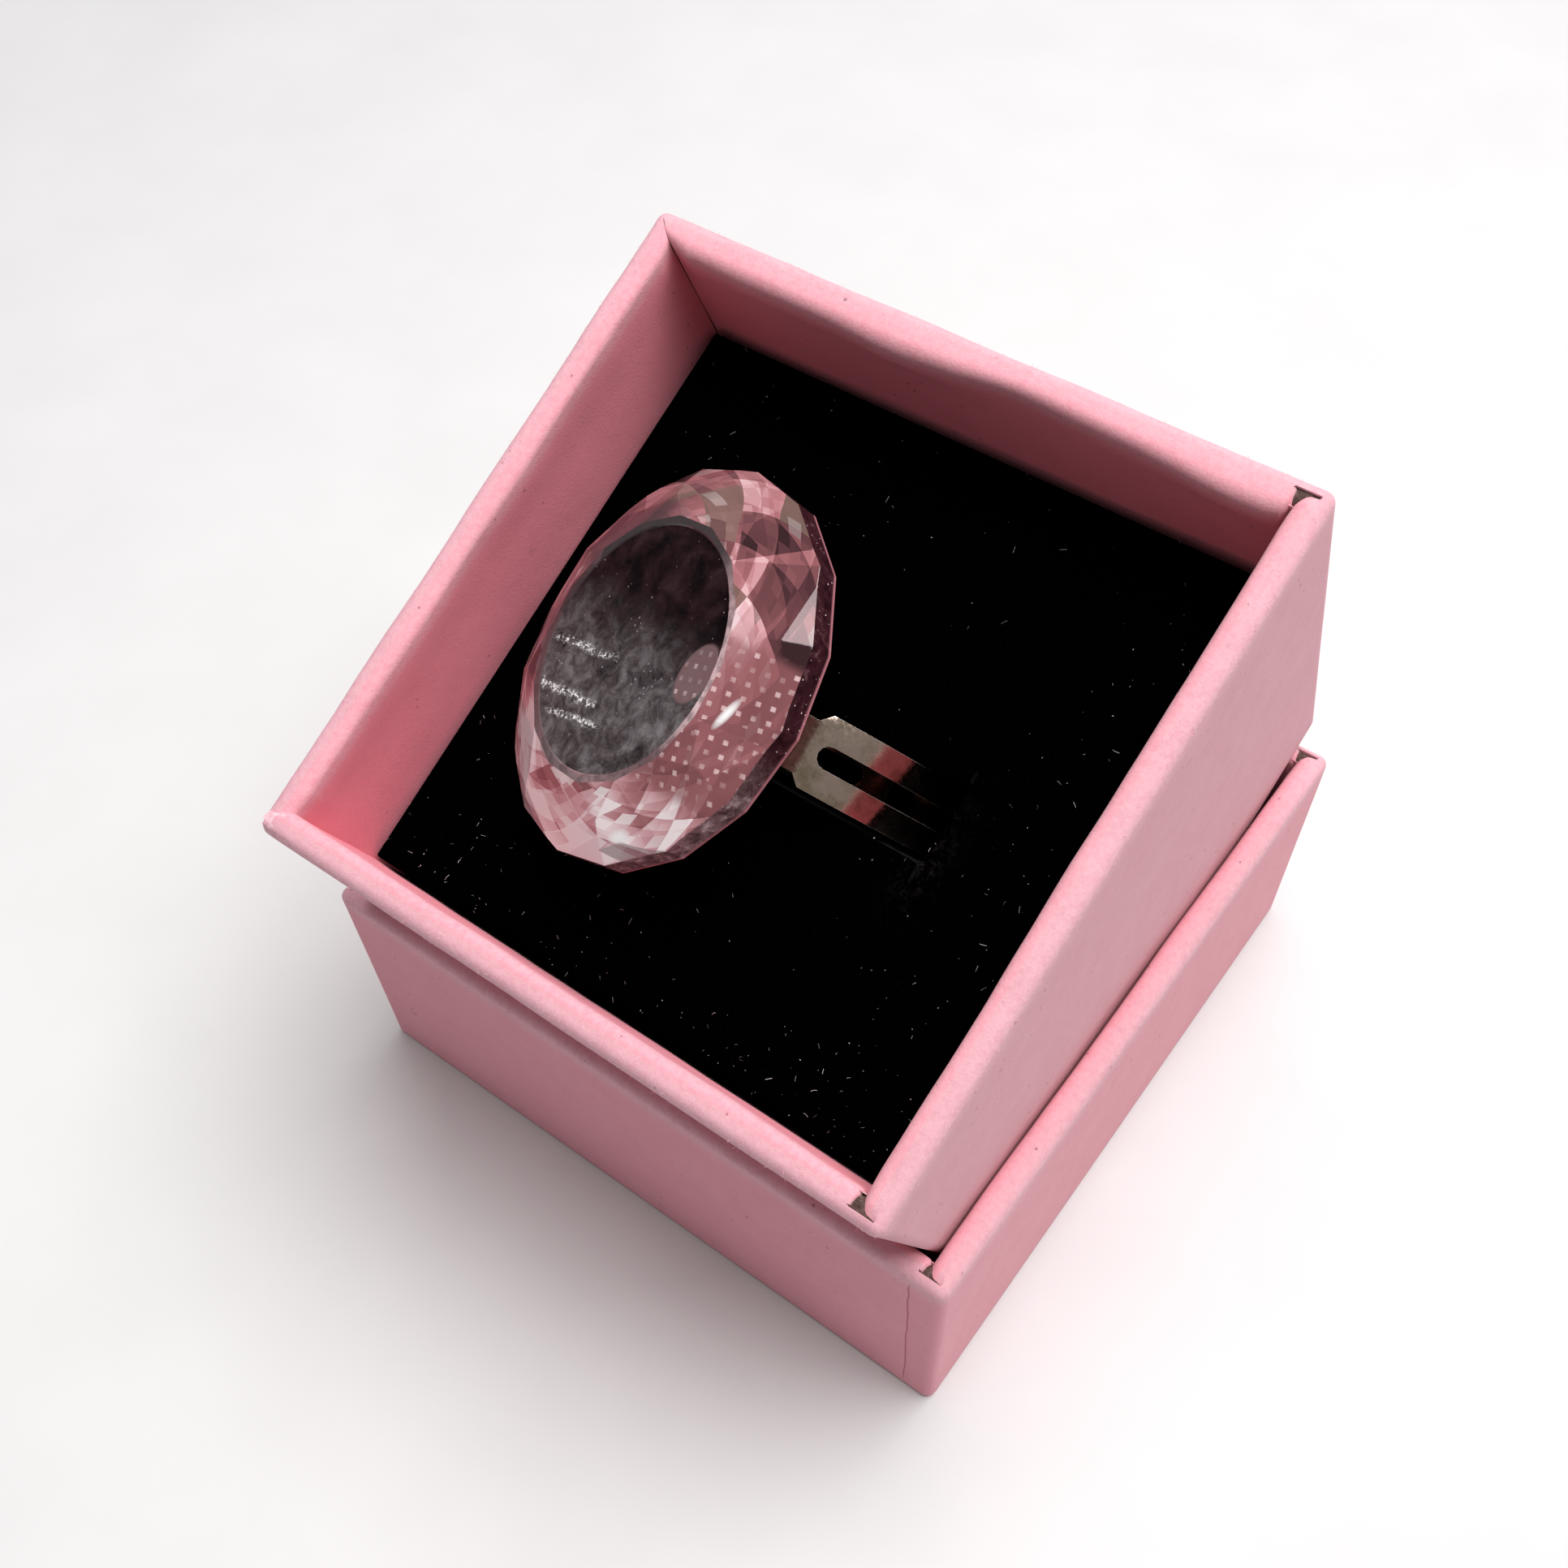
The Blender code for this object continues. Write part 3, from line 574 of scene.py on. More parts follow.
def finish_crystal():
    """The crystal's crown and sides: painted reflections of the box, painted glints and shade, and a
    painted picture of the pad's dots seen through them.
    """
    glass = Finish("crystal_glass", Roughness=0.05, IOR=1.5, Transmission_Weight=0.12)
    own = glass.place(RING)
    x, y, z, radius, turn = around(glass, own)
    tone = glass.attribute("tone")
    large, brown, _ = facets(glass, turn * 14 + radius * 0.40, turn * 14 - radius * 0.40)
    middle_size, pale, _ = facets(glass, turn * 26 - radius * 0.95, turn * 9 + radius * 0.62)
    small, spark, _ = facets(glass, turn * 41 + radius * 1.30, turn * 30 - radius * 1.75)
    # Painted light: the facets lighter or darker by which way round the axis they face
    painted_light = glass.ramp(turn, (0.0, (0.0,) * 3), (0.07, (0.16,) * 3), (0.13, (1.0,) * 3),
                        (0.33, (1.0,) * 3), (0.41, (0.40,) * 3), (0.50, (0.32,) * 3),
                        (0.58, (0.50,) * 3), (0.66, (0.40,) * 3), (0.76, (0.50,) * 3),
                        (0.85, (0.08,) * 3))
    level = painted_light * 0.64 + large * 0.46 + middle_size * 0.36 + small * 0.14 + tone * 0.30 - 0.57
    level = level + glass.between(turn, 0.07, 0.15) * glass.between(turn, 0.30, 0.41, 0.14, 0.0)
    colour = glass.ramp(level, (0.02, (0.035, 0.012, 0.015)), (0.16, (0.13, 0.045, 0.052)),
                        (0.34, STONE_ROSE), (0.50, (0.48, 0.20, 0.22)),
                        (0.66, (0.72, 0.42, 0.45)), (0.84, (1.0, 0.88, 0.89)))
    # Painted reflection: greenish-brown facets on the far side
    olive_reflection = (brown > 0.66) * glass.band(turn, 0.50, 0.58, 0.80, 0.86)
    colour = glass.mix(olive_reflection * 0.75, colour, (0.19, 0.115, 0.095))
    # Painted glints: white sparkles on the lighter facets
    colour = glass.mix((spark > 0.93) * glass.between(painted_light, 0.35, 1.0, 0.10, 0.75), colour,
                       (1.0, 0.93, 0.93))
    # Painted reflection: a few dark facets
    colour = glass.mix((pale > 0.86) * 0.55, colour, (0.085, 0.028, 0.034))
    # Painted shade on part of the crown's outer edge
    shade = glass.band(turn, 0.78, 0.83, 0.92, 0.97) * glass.between(radius, 9.3, 10.0, 0.95, 0.0)
    colour = glass.mix(shade, colour, (0.052, 0.036, 0.038))
    # Painted view through the stone: the pad and its dots under the crown's right side
    pad_seen_through = glass.between(x, 4.0, 5.5) * glass.band(y, -6.6, -5.6, 2.8, 3.6)
    colour = glass.mix(pad_seen_through * 0.72, colour, STONE_ROSE)
    colour = glass.mix(pad_seen_through * dotted(glass, x, y, tone) * 0.78, colour, (0.80, 0.56, 0.57))
    # Painted highlights: two white spindles
    for middle, along, length, width in (((9.5, -0.6), (0.27, 0.96), 1.2, 0.28),
                                         ((5.6, -9.5), (0.80, 0.60), 0.9, 0.40)):
        colour = glass.mix(glint(x, y, middle, along, length, width), colour, GLINT_WHITE)
    # The girdle and the faces below it: painted reflections, painted sparkles and a painted pink lower edge
    streaky = glass.grain(1.3, 4, 0.7, own, 0.6)
    dark = glass.ramp(streaky, (0.35, (0.010, 0.003, 0.005)), (0.58, (0.045, 0.014, 0.020)),
                      (0.76, (0.16, 0.08, 0.09)))
    grey = glass.ramp(streaky, (0.35, (0.12, 0.07, 0.075)), (0.55, (0.34, 0.23, 0.24)),
                      (0.72, (0.90, 0.80, 0.80)))
    dark = glass.mix(glass.between(turn, 0.41, 0.49, 1.0, 0.0), dark, grey)
    fleck = glass.cells(2.4, own) < 0.11
    dark = glass.mix(fleck * 0.8, dark, (0.85, 0.72, 0.74))
    dark = glass.mix(glass.between(z, 13.1, 13.3, 0.75, 0.0), dark, (0.62, 0.24, 0.28))
    colour = glass.mix(glass.attribute("side"), colour, dark)
    return glass.feed(Base_Color=colour,
                      Normal=glass.bump(glass.grain(0.35, 2, 0.5, own), 0.04 * MM, 0.5))


def table_glass():
    """The flat rim of the table round the disc; its greys are painted reflections that change round it."""
    glass = Finish("table_glass", Roughness=0.05, IOR=1.52, Transmission_Weight=0.15)
    own = glass.place(RING)
    turn = around(glass, own)[-1]
    # Painted reflections: greys that change round the table
    grey = glass.ramp(turn, (0.0, (0.10, 0.055, 0.060)), (0.10, (0.12, 0.075, 0.08)),
                      (0.20, (0.16, 0.11, 0.115)), (0.30, (0.34, 0.22, 0.23)), (0.40, (0.16, 0.09, 0.10)),
                      (0.48, (0.85, 0.60, 0.62)), (0.60, (0.55, 0.36, 0.38)), (0.68, (0.060, 0.045, 0.047)),
                      (0.95, (0.040, 0.030, 0.032)))
    cloud = glass.between(glass.grain(1.4, 3, 0.6, own), 0.42, 0.62)
    colour = glass.mix(cloud * 0.5, grey, (0.07, 0.04, 0.045))
    return glass.feed(Base_Color=colour)


# Meshes

def new_object(name, data):
    """An object in the scene."""
    made = bpy.data.objects.new(name, data)
    bpy.context.scene.collection.objects.link(made)
    return made


def finished(name, mesh, body, slot, *nodes, material=None, smooth=40.0):
    """Puts a finished mesh in the scene, on its body, in place of its CAD nodes."""
    piece = new_object(name, mesh)
    if material:
        mesh.materials.clear()
        mesh.materials.append(material)
    if smooth:
        mesh.shade_smooth()
        mesh.set_sharp_from_angle(angle=math.radians(smooth))
    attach(piece, body)
    if nodes:
        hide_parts(*nodes)
    return piece


def evaluated_mesh(piece, name):
    """A piece's mesh with its modifiers applied; the piece itself goes."""
    bpy.context.view_layer.update()
    view = piece.evaluated_get(bpy.context.evaluated_depsgraph_get())
    mesh = bpy.data.meshes.new_from_object(view)
    mesh.name = name
    bpy.data.objects.remove(piece, do_unlink=True)
    return mesh


def mesh_from(shape, name):
    """A mesh of a shape, which goes."""
    mesh = bpy.data.meshes.new(name)
    shape.to_mesh(mesh)
    shape.free()
    return mesh


def ordered(shape, settled=()):
    """Numbers a shape's parts by place, because extruding leaves them in no fixed order.

    Settled parts keep the numbers they have.
    """
    def spot(item):
        corners = [item] if isinstance(item, bmesh.types.BMVert) else item.verts
        return tuple(round(sum(corner.co[axis] for corner in corners) / (len(corners) * MM), 4)
                     for axis in range(3))

    for items in (shape.verts, shape.edges, shape.faces):
        items.index_update()
        loose = [item for item in items if item not in settled]
        numbers = [item.index for item in loose]
        for number, item in zip(numbers, sorted(loose, key=spot)):
            item.index = number
        items.sort()
    return shape


def welded(mesh, name, reach):
    """A copy of a mesh, with corners that lie within reach of each other joined."""
    shape = bmesh.new()
    shape.from_mesh(mesh)
    bmesh.ops.remove_doubles(shape, verts=shape.verts, dist=reach)
    return mesh_from(shape, name)


def merged_copy(node, name):
    """A copy of a CAD node's mesh with its loose triangles joined."""
    return welded(frame["nodes"][node].data, name, 0.002 * MM)


def shaped(name, mesh, kind, **settings):
    """What a mesh becomes under one modifier."""
    piece = new_object(name + "_rough", mesh)
    modifier = piece.modifiers.new("work", kind)
    for key, value in settings.items():
        setattr(modifier, key, value)
    return evaluated_mesh(piece, name)


def worn_edges(name, mesh, width, **settings):
    """A mesh with its sharp edges rounded."""
    return shaped(name, mesh, "BEVEL", width=width, segments=3, limit_method="ANGLE",
                  angle_limit=math.radians(50), **settings)


# The paper wraps

def fold_rows(centre, radius, start, end, steps, zone):
    """Rows round a fold; angles in degrees, from facing out to facing up."""
    rows = []
    for step in range(steps + 1):
        angle = math.radians(start + (end - start) * step / steps)
        out, rise = math.cos(angle), math.sin(angle)
        rows.append(Row(centre[0] - radius * out, centre[1] + radius * rise, out, rise, zone))
    return rows


def wrap_rows(tray):
    """The paper from the middle of the underside, up the wall, over the rim and down the inside."""
    half, height, wall, foot = tray.half, tray.height, tray.wall, tray.foot
    rows = [Row(half - (half - UNDER_FOLD) * step / 6, 0, 0, -1, "outside") for step in range(6)]
    rows += fold_rows((UNDER_FOLD, UNDER_FOLD), UNDER_FOLD, -90, 0, 5, "outside")
    low, high = UNDER_FOLD, height - RIM_FOLD
    count = round((high - low) / OUTSIDE_PITCH)
    rows += [Row(0, low + (high - low) * step / count, 1, 0, "outside") for step in range(1, count)]
    rows += fold_rows((RIM_FOLD, high), RIM_FOLD, 0, 90, 9, "rim")
    top = wall - INNER_FOLD - RIM_FOLD
    rows += [Row(RIM_FOLD + top * step / 4, height, 0, 1, "rim") for step in (1, 2, 3)]
    rows += fold_rows((wall - INNER_FOLD, height - INNER_FOLD), INNER_FOLD, 90, 180, 7, "inner_fold")
    start = height - INNER_FOLD
    count = round((start - foot) / INSIDE_PITCH)
    rows += [Row(wall, start + (foot - start) * step / count, -1, 0, "inside")
             for step in range(1, count + 1)]
    return rows


def wrap_columns(half):
    """Places along a wall, close together near its ends and beside the seams."""
    marks = set()
    fine, coarse = 0.24 * MM, 0.75 * MM
    reach = half - END_ZONE
    marks.update(reach * (2 * step / round(2 * reach / coarse) - 1)
                 for step in range(round(2 * reach / coarse) + 1))
    seam = half - SEAM_REACH
    for step in range(1, round(END_ZONE / fine) + 1):
        mark = half - END_ZONE + END_ZONE * step / round(END_ZONE / fine)
        if abs(mark - seam) > 0.16 * MM:
            marks.update((mark, -mark))
    for offset in (-0.13, -0.05, 0.0, 0.05, 0.13):
        marks.update((seam + offset * MM, -seam - offset * MM))
    return sorted(marks)


def row_end(tray, row, end, ragged):
    """How far short of the corner a row of paper ends."""
    if row.zone == "outside" or row.depth <= TUCK_STRIP:
        return row.depth
    if end.style == "full":
        return TUCK_STRIP + CRACK if row.up > tray.height - 0.9 * MM else tray.wall
    if end.style == "short":
        slant = 0.25 * MM * (row.depth - TUCK_STRIP) / tray.wall
        return tray.wall + end.hole - slant
    if end.style == "torn":
        return max(0.35 * row.depth, row.depth - ragged * (0.15 if row.zone == "inside" else 1.0))
    return row.depth + CRACK


def row_reach(tray, row, column, end, ragged):
    """How far from the wall's middle a column lies in a row; near its end the row is drawn in."""
    if row.rise == -1:
        return abs(column) * (tray.half - row.depth) / tray.half
    zone = tray.wall + end.hole + CUT_ZONE if end.style in ("full", "short") else END_ZONE
    far = abs(column) - (tray.half - zone)
    if far <= 0:
        return abs(column)
    return tray.half - zone + far * (zone - row_end(tray, row, end, ragged)) / zone


def seam_drift(tray, row, side, gap):
    """How far the overlap seam of the front or back wall wanders."""
    if row.zone != "outside" or side % 2:
        return 0.0
    near = math.exp(-((gap - SEAM_REACH) / (0.5 * MM)) ** 2)
    return near * (0.38 * MM * wave(row.up, side, 0, 7 * MM, tray.seed + 2)
                   + 0.13 * MM * wave(row.up, side, 3, 1.3 * MM, tray.seed + 3)
                   + 0.25 * MM * (row.up / tray.height - 0.5)) * min(1.0, row.up / MM)


def round_corner(x, y, half):
    """Brings the square corner of a wrap in to its round one."""
    across, along = abs(x) - (half - CORNER_RADIUS), abs(y) - (half - CORNER_RADIUS)
    if across <= 0 or along <= 0:
        return x, y
    shrink = max(across, along) / math.hypot(across, along)
    return (math.copysign(half - CORNER_RADIUS + across * shrink, x),
            math.copysign(half - CORNER_RADIUS + along * shrink, y))


def wave(x, y, z, size, seed):
    """Smooth noise from -1 to 1 with waves of about a size."""
    return noise.noise(Vector((x, y, z)) / size + Vector((seed * 7.3, seed * 3.1, seed * 1.7)))


def wrap_point(tray, row, x, side, end, gap, slackness):
    """Where the paper really lies: its depth and height, with its bulges and tucks."""
    seed = tray.seed
    calm = min(1.0, gap / (2.5 * MM))
    out = swell = slack = 0.0
    if row.zone == "outside":
        out = calm * min(1.0, row.up / (4 * MM)) * 0.075 * MM * wave(x, side, row.up, 11 * MM, seed)
        if side % 2 == 0:
            covered = 1.0 if gap < SEAM_REACH - 0.015 * MM else 0.0
            groove = 1.0 if abs(gap - SEAM_REACH) < SEAM_LINE else 0.0
            fade = min(1.0, gap / (1.2 * MM)) * min(1.0, max(0.0, row.up - 0.4 * MM) / (0.8 * MM))
            out -= (covered * SEAM_STEP + groove * SEAM_GROOVE) * fade
    else:
        swell = wave(x, side + 5.0, 0, 6.5 * MM, seed) * 0.09 * MM
        swell += wave(x, side + 9.0, 0, 1.9 * MM, seed) * 0.035 * MM
        if row.depth <= TUCK_STRIP:
            swell *= calm
        elif gap < 1.1 * MM + row.depth and end.style != "mitre":
            swell -= 0.16 * MM * max(0.0, 1 - (gap - row.depth * 0.2) / (1.1 * MM)) ** 2
    if end.style == "torn" and row.depth > 0.3 * MM:
        swell += 0.22 * MM * max(0.0, 1 - gap / (3.2 * MM))
    if row.zone in ("inner_fold", "inside"):
        below = (tray.height - row.up) / (2.6 * MM)
        loose = 0.5 + 0.5 * wave(x, side + 2.0, 0, 7.5 * MM, seed)
        slack = slackness * loose * math.exp(-(below - 0.45) ** 2 * 2.2) * min(1.0, gap / (3 * MM))
        slack += 0.03 * MM * wave(x, row.up, side, 3.5 * MM, seed + 4)
    depth = row.depth - out * row.out + slack - swell * row.out * 0.5
    up = row.up + out * min(row.rise, 0.0) + swell * max(row.rise, 0.0)
    return depth, up


def paint(tray, row, side, end, gap, outer_painted_shade):
    """How pale a point of the paper is from scuffing and painted highlight, how much painted shadow its
    seam line gets, and how much painted shade and bounce it gets.
    """
    # Paler near the rim's top: scuffing, and a painted highlight where the light falls on the fold
    fold_wear_and_highlight = math.exp(-((row.up - (tray.height - 0.5 * MM)) / (0.9 * MM)) ** 2)
    torn_edge = end.style == "torn" and gap < 0.8 * MM and row.zone in ("rim", "inner_fold")
    scuff = TORN_SCUFF if torn_edge else fold_wear_and_highlight if row.zone != "inside" else 0.3 * fold_wear_and_highlight
    # The seam's dark line is a painted shadow
    on_shadow_line = row.zone == "outside" and side % 2 == 0 and abs(gap - SEAM_REACH) < SEAM_LINE
    seam = 0.9 if on_shadow_line and row.up > 0.8 * MM else 0.0
    return scuff, seam, PAINTED_SHADE_SHARE.get(row.zone, outer_painted_shade)


def wrap_mesh(name, tray, flaps, outer_painted_shade):
    """A sheet of paper round a tray, each wall's flap cut and tucked at its ends."""
    rows, columns = wrap_rows(tray), wrap_columns(tray.half)
    wide = len(columns)
    corners, faces, painted = [], [], []
    rng = random.Random(tray.seed)
    for side, flap in enumerate(flaps):
        turn = Matrix.Rotation(side * math.pi / 2, 3, "Z")
        start = len(corners)
        jag = [rng.uniform(0.10 * MM, 1.3 * MM) for _ in rows]
        ends = [flap.left if column < 0 else flap.right for column in columns]
        reaches = []
        for row, ragged in zip(rows, jag):
            line = []
            for column, end in zip(columns, ends):
                gap = tray.half - abs(column)
                reach = row_reach(tray, row, column, end, ragged) - seam_drift(tray, row, side, gap)
                line.append(reach)
                x = math.copysign(reach, column)
                depth, up = wrap_point(tray, row, x, side, end, gap, flap.slack)
                x, y = round_corner(x, -(tray.half - depth), tray.half)
                corners.append(tray.place @ (turn @ Vector((x, y, up))))
                painted.append(paint(tray, row, side, end, gap, outer_painted_shade))
            reaches.append(line)
        for index, (lower, upper) in enumerate(zip(reaches, reaches[1:])):
            for spot in range(wide - 1):
                skew = max(abs(lower[place] - upper[place]) for place in (spot, spot + 1))
                limit = SKEW_TORN if ends[spot].style == "torn" else SKEW_CUT
                if skew > limit and rows[index].zone != "outside":
                    continue
                first = start + index * wide + spot
                faces.append((first, first + 1, first + wide + 1, first + wide))
    mesh = bpy.data.meshes.new(name + "_flat")
    mesh.from_pydata(corners, [], faces)
    for label, values in zip(("scuff", "seam", "deep"), zip(*painted)):
        mesh.attributes.new(label, "FLOAT", "POINT").data.foreach_set("value", values)
    return shaped(name, welded(mesh, name + "_sheet", 0.003 * MM), "SOLIDIFY",
                  thickness=PAPER, offset=-1.0)


def tray_of(prefix, place, turn_in, seed):
    """A wrapped tray's sizes; its paper turns in this far, or down to the liner where it's None."""
    high = size_in(prefix + "_wrap", place)[1]
    liner = size_in(prefix + "_floor_liner", place)[1]
    wall = high.x - liner.x - LINER_MARGIN
    foot = liner.z + TURN_IN_GAP if turn_in is None else high.z - turn_in
    return Tray(place, high.x, high.z, wall, foot, seed)


def wrap(prefix, tray, flaps, outer_painted_shade, material):
    """The paper wrap of the lid or of the base."""
    name = prefix + "_wrap_paper"
    return finished(name, wrap_mesh(name, tray, flaps, outer_painted_shade), prefix, "pink_paper",
                    prefix + "_wrap", material=material, smooth=50.0)


def under_flaps(prefix, tray, material):
    """Side flaps that run on round the inner corners, under the front and back flaps."""
    name = prefix + "_under_flaps"
    shape = bmesh.new()
    for side, end in TUCKED:
        turn = tray.place @ Matrix.Rotation(side * math.pi / 2, 4, "Z")
        grid = []
        for step in range(25):
            up = tray.height - 0.24 * MM - UNDER_FLAP_DROP * step / 24
            line = []
            for along in range(6):
                x = tray.half - tray.wall - 0.03 * MM - UNDER_FLAP_REACH * along / 5
                ripple = 0.03 * MM * wave(x, up, side, 1.6 * MM, 41)
                y = -(tray.half - (tray.wall - 0.10 * MM)) - ripple
                line.append(shape.verts.new(turn @ Vector((end * x, y, up))))
            grid.append(line)
        for upper, lower in zip(grid, grid[1:]):
            for along in range(5):
                shape.faces.new((upper[along], lower[along], lower[along + 1], upper[along + 1]))
    bmesh.ops.recalc_face_normals(shape, faces=shape.faces)
    mesh = shaped(name, mesh_from(shape, name + "_sheet"), "SOLIDIFY", thickness=0.05 * MM, offset=0.0)
    return finished(name, mesh, prefix, "pink_paper", material=material)


# The insert

def slot_gap(x, y):
    """Distance from a point of the velvet to the slot's outline, below zero inside it."""
    boxes = [(0.0, SLOT_LENGTH / 2, SLOT_WIDTH / 2)]
    for end in (-1, 1):
        middle = end * (SLOT_LENGTH - CROSS_CUT_WIDTH) / 2
        boxes.append((middle, CROSS_CUT_WIDTH / 2, CROSS_CUT_LENGTH / 2))
    gaps = []
    for middle, along, across in boxes:
        dx, dy = abs(x - middle) - along, abs(y) - across
        outside = math.hypot(max(dx, 0.0), max(dy, 0.0))
        gaps.append(outside if outside > 0 else max(dx, dy))
    return min(gaps)


def velvet(material):
    """The velvet: a flat top with a soft edge, crowned lightly, its slot lips brushed up."""
    low, high = size_in("velvet_cover", BASE)
    half, top, foot = high.x, high.z, low.z
    lift, walls = axis_of("ring_lift"), axis_of("insert_lift")
    lean = math.atan2(-lift.y, lift.z) - math.atan2(-walls.y, walls.z)
    ring_centre = BASE.inverted() @ RING.translation
    mouth_y = ring_centre.y - (top - ring_centre.z) * math.tan(lean)
    skirt = [(half, foot + (top - VELVET_FOLD - foot) * step / 12) for step in range(12)]
    for angle in (math.radians(15 * step) for step in range(7)):
        skirt.append((half - VELVET_FOLD + VELVET_FOLD * math.cos(angle),
                      top - VELVET_FOLD + VELVET_FOLD * math.sin(angle)))
    flat = half - VELVET_FOLD
    shape = bmesh.new()
    bmesh.ops.create_grid(shape, x_segments=92, y_segments=92, size=flat)

    def slot_near(spot):
        return slot_gap(spot.x, (spot.y - mouth_y) * math.cos(lean))

    doomed = [face for face in shape.faces if slot_near(face.calc_center_median()) < 0]
    bmesh.ops.delete(shape, geom=doomed, context="FACES")
    lips = shape.verts.layers.float.new("lip")
    edges = [edge for edge in shape.edges if edge.is_boundary
             and all(max(abs(v.co.x), abs(v.co.y)) > flat - 0.01 * MM for v in edge.verts)]
    for corner in shape.verts:
        x, y = corner.co.x, corner.co.y
        gap = slot_near(corner.co)
        near = math.exp(-(max(gap, 0.0) / (0.9 * MM)) ** 2)
        crown = 0.10 * MM * (1 - (x / flat) ** 2) * (1 - (y / flat) ** 2)
        rough = 0.10 * MM * wave(x, y, 0, 2.2 * MM, 11) + 0.05 * MM * wave(x, y, 0, 0.7 * MM, 12)
        corner.co.z = top - 0.05 * MM + crown * 0.4 - 0.10 * MM * near + rough * 0.5
        right_end = math.exp(-((x - 11.6 * MM) / (1.1 * MM)) ** 2 - ((y + 3.2 * MM) / (3.0 * MM)) ** 2)
        if x > 11.2 * MM or gap > 0.3 * MM:
            corner.co.z += 0.30 * MM * right_end
        corner[lips] = min(1.0, right_end)
    settled = {*shape.verts, *shape.edges, *shape.faces}
    for reach, up in reversed(skirt[:-1]):
        made = bmesh.ops.extrude_edge_only(shape, edges=edges)["geom"]
        edges = [item for item in made if isinstance(item, bmesh.types.BMEdge) and item.is_boundary]
        for corner in {corner for edge in edges for corner in edge.verts}:
            scale = reach / max(abs(corner.co.x), abs(corner.co.y))
            corner.co.x *= scale
            corner.co.y *= scale
            corner.co.z = up
    bmesh.ops.recalc_face_normals(shape, faces=shape.faces)
    upward = max(shape.faces, key=lambda face: abs(face.normal.z))
    if upward.normal.z < 0:
        bmesh.ops.reverse_faces(shape, faces=shape.faces)
    sheet = mesh_from(ordered(shape, settled), "velvet_sheet")
    sheet.transform(BASE)
    mesh = shaped("velvet_top", sheet, "SOLIDIFY", thickness=VELVET, offset=-1.0)
    cover = finished("velvet_top", mesh, "insert", "black_velvet", "velvet_cover", material=material,
                     smooth=60.0)
    return cover, half, top


def foam(material):
    """The foam block, with its cut faces a little ragged."""
    mesh = shaped("foam_core", merged_copy("foam_pad", "foam_block"), "REMESH", mode="VOXEL",
                  voxel_size=0.45 * MM)
    normals = [corner.normal.copy() for corner in mesh.vertices]
    for corner, normal in zip(mesh.vertices, normals):
        corner.co += normal * (wave(*corner.co, 1.1 * MM, 21) * 0.10 * MM - 0.06 * MM)
    piece = finished("foam_core", mesh, "insert", "sponge", "foam_pad", material=material, smooth=60.0)
    return piece


# Fibres and dust, scattered by Geometry Nodes

def scatter(name, surface, body, slot, material, seed, **sizes):
    """Curved fibres on a surface, where its 'amount' is high, as one plain mesh on its body."""
    tree = Maker(name + "_scatter", "Density", "Length", "Thickness", "Bend", "Lean")
    given = tree.given
    length = given["Length"]
    amount = tree.node("GeometryNodeInputNamedAttribute", {"data_type": "FLOAT"}, {"Name": "amount"})
    points = tree.node("GeometryNodeDistributePointsOnFaces", {"distribute_method": "RANDOM"}, {
        "Mesh": given["Geometry"], "Density": amount * given["Density"], "Seed": seed})
    middle = tree.node("ShaderNodeCombineXYZ", None, {"X": length * given["Bend"], "Z": length * 0.55})
    tip = tree.node("ShaderNodeCombineXYZ", None, {"X": length * given["Lean"], "Z": length * 0.62})
    curve = tree.node("GeometryNodeCurveQuadraticBezier", None, {
        "Resolution": 4, "Start": (0, 0, 0), "Middle": middle, "End": tip})
    outline = tree.node("GeometryNodeCurvePrimitiveCircle", None, {
        "Resolution": 3, "Radius": given["Thickness"]})
    fibre = tree.node("GeometryNodeCurveToMesh", None, {
        "Curve": curve, "Profile Curve": outline, "Fill Caps": True})
    spin = tree.node("FunctionNodeRandomValue", {"data_type": "FLOAT_VECTOR"}, {
        0: (-0.9, -0.9, -math.pi), 1: (0.9, 0.9, math.pi), "Seed": seed + 1})
    turned = tree.node("FunctionNodeRotateRotation", {"rotation_space": "LOCAL"}, {
        "Rotation": tree.outputs(points)["Rotation"],
        "Rotate By": tree.node("FunctionNodeEulerToRotation", None, {"Euler": spin})})
    size = tree.node("FunctionNodeRandomValue", {"data_type": "FLOAT"}, {
        2: 0.35, 3: 1.25, "Seed": seed + 2}, 1)
    placed = tree.node("GeometryNodeInstanceOnPoints", None, {
        "Points": points, "Instance": fibre, "Rotation": turned, "Scale": size})
    mesh = tree.bake(name, surface, placed, material, sizes)
    return finished(name, mesh, body, slot, material=material, smooth=60.0)


def amount_surface(name, piece, rule):
    """A copy of a piece's mesh that says how much settles on each face."""
    mesh = piece.data.copy()
    mesh.name = name
    layer = mesh.attributes.new("amount", "FLOAT", "POINT")
    layer.data.foreach_set("value", [rule(corner) for corner in mesh.vertices])
    return mesh


def lint_rule(half, top):
    """Lint settles on the velvet's top, thickest beside the front and right walls."""
    inverse = BASE.inverted()

    def rule(corner):
        spot = inverse @ corner.co
        if spot.z < top - 0.6 * MM or (BASE_TURN.transposed() @ corner.normal).z < 0.5:
            return 0.0
        front = math.exp(-((spot.y + half) / (2.4 * MM)))
        right = math.exp(-((half - spot.x) / (3.2 * MM)))
        return 0.12 + 1.2 * front + 0.7 * right
    return rule


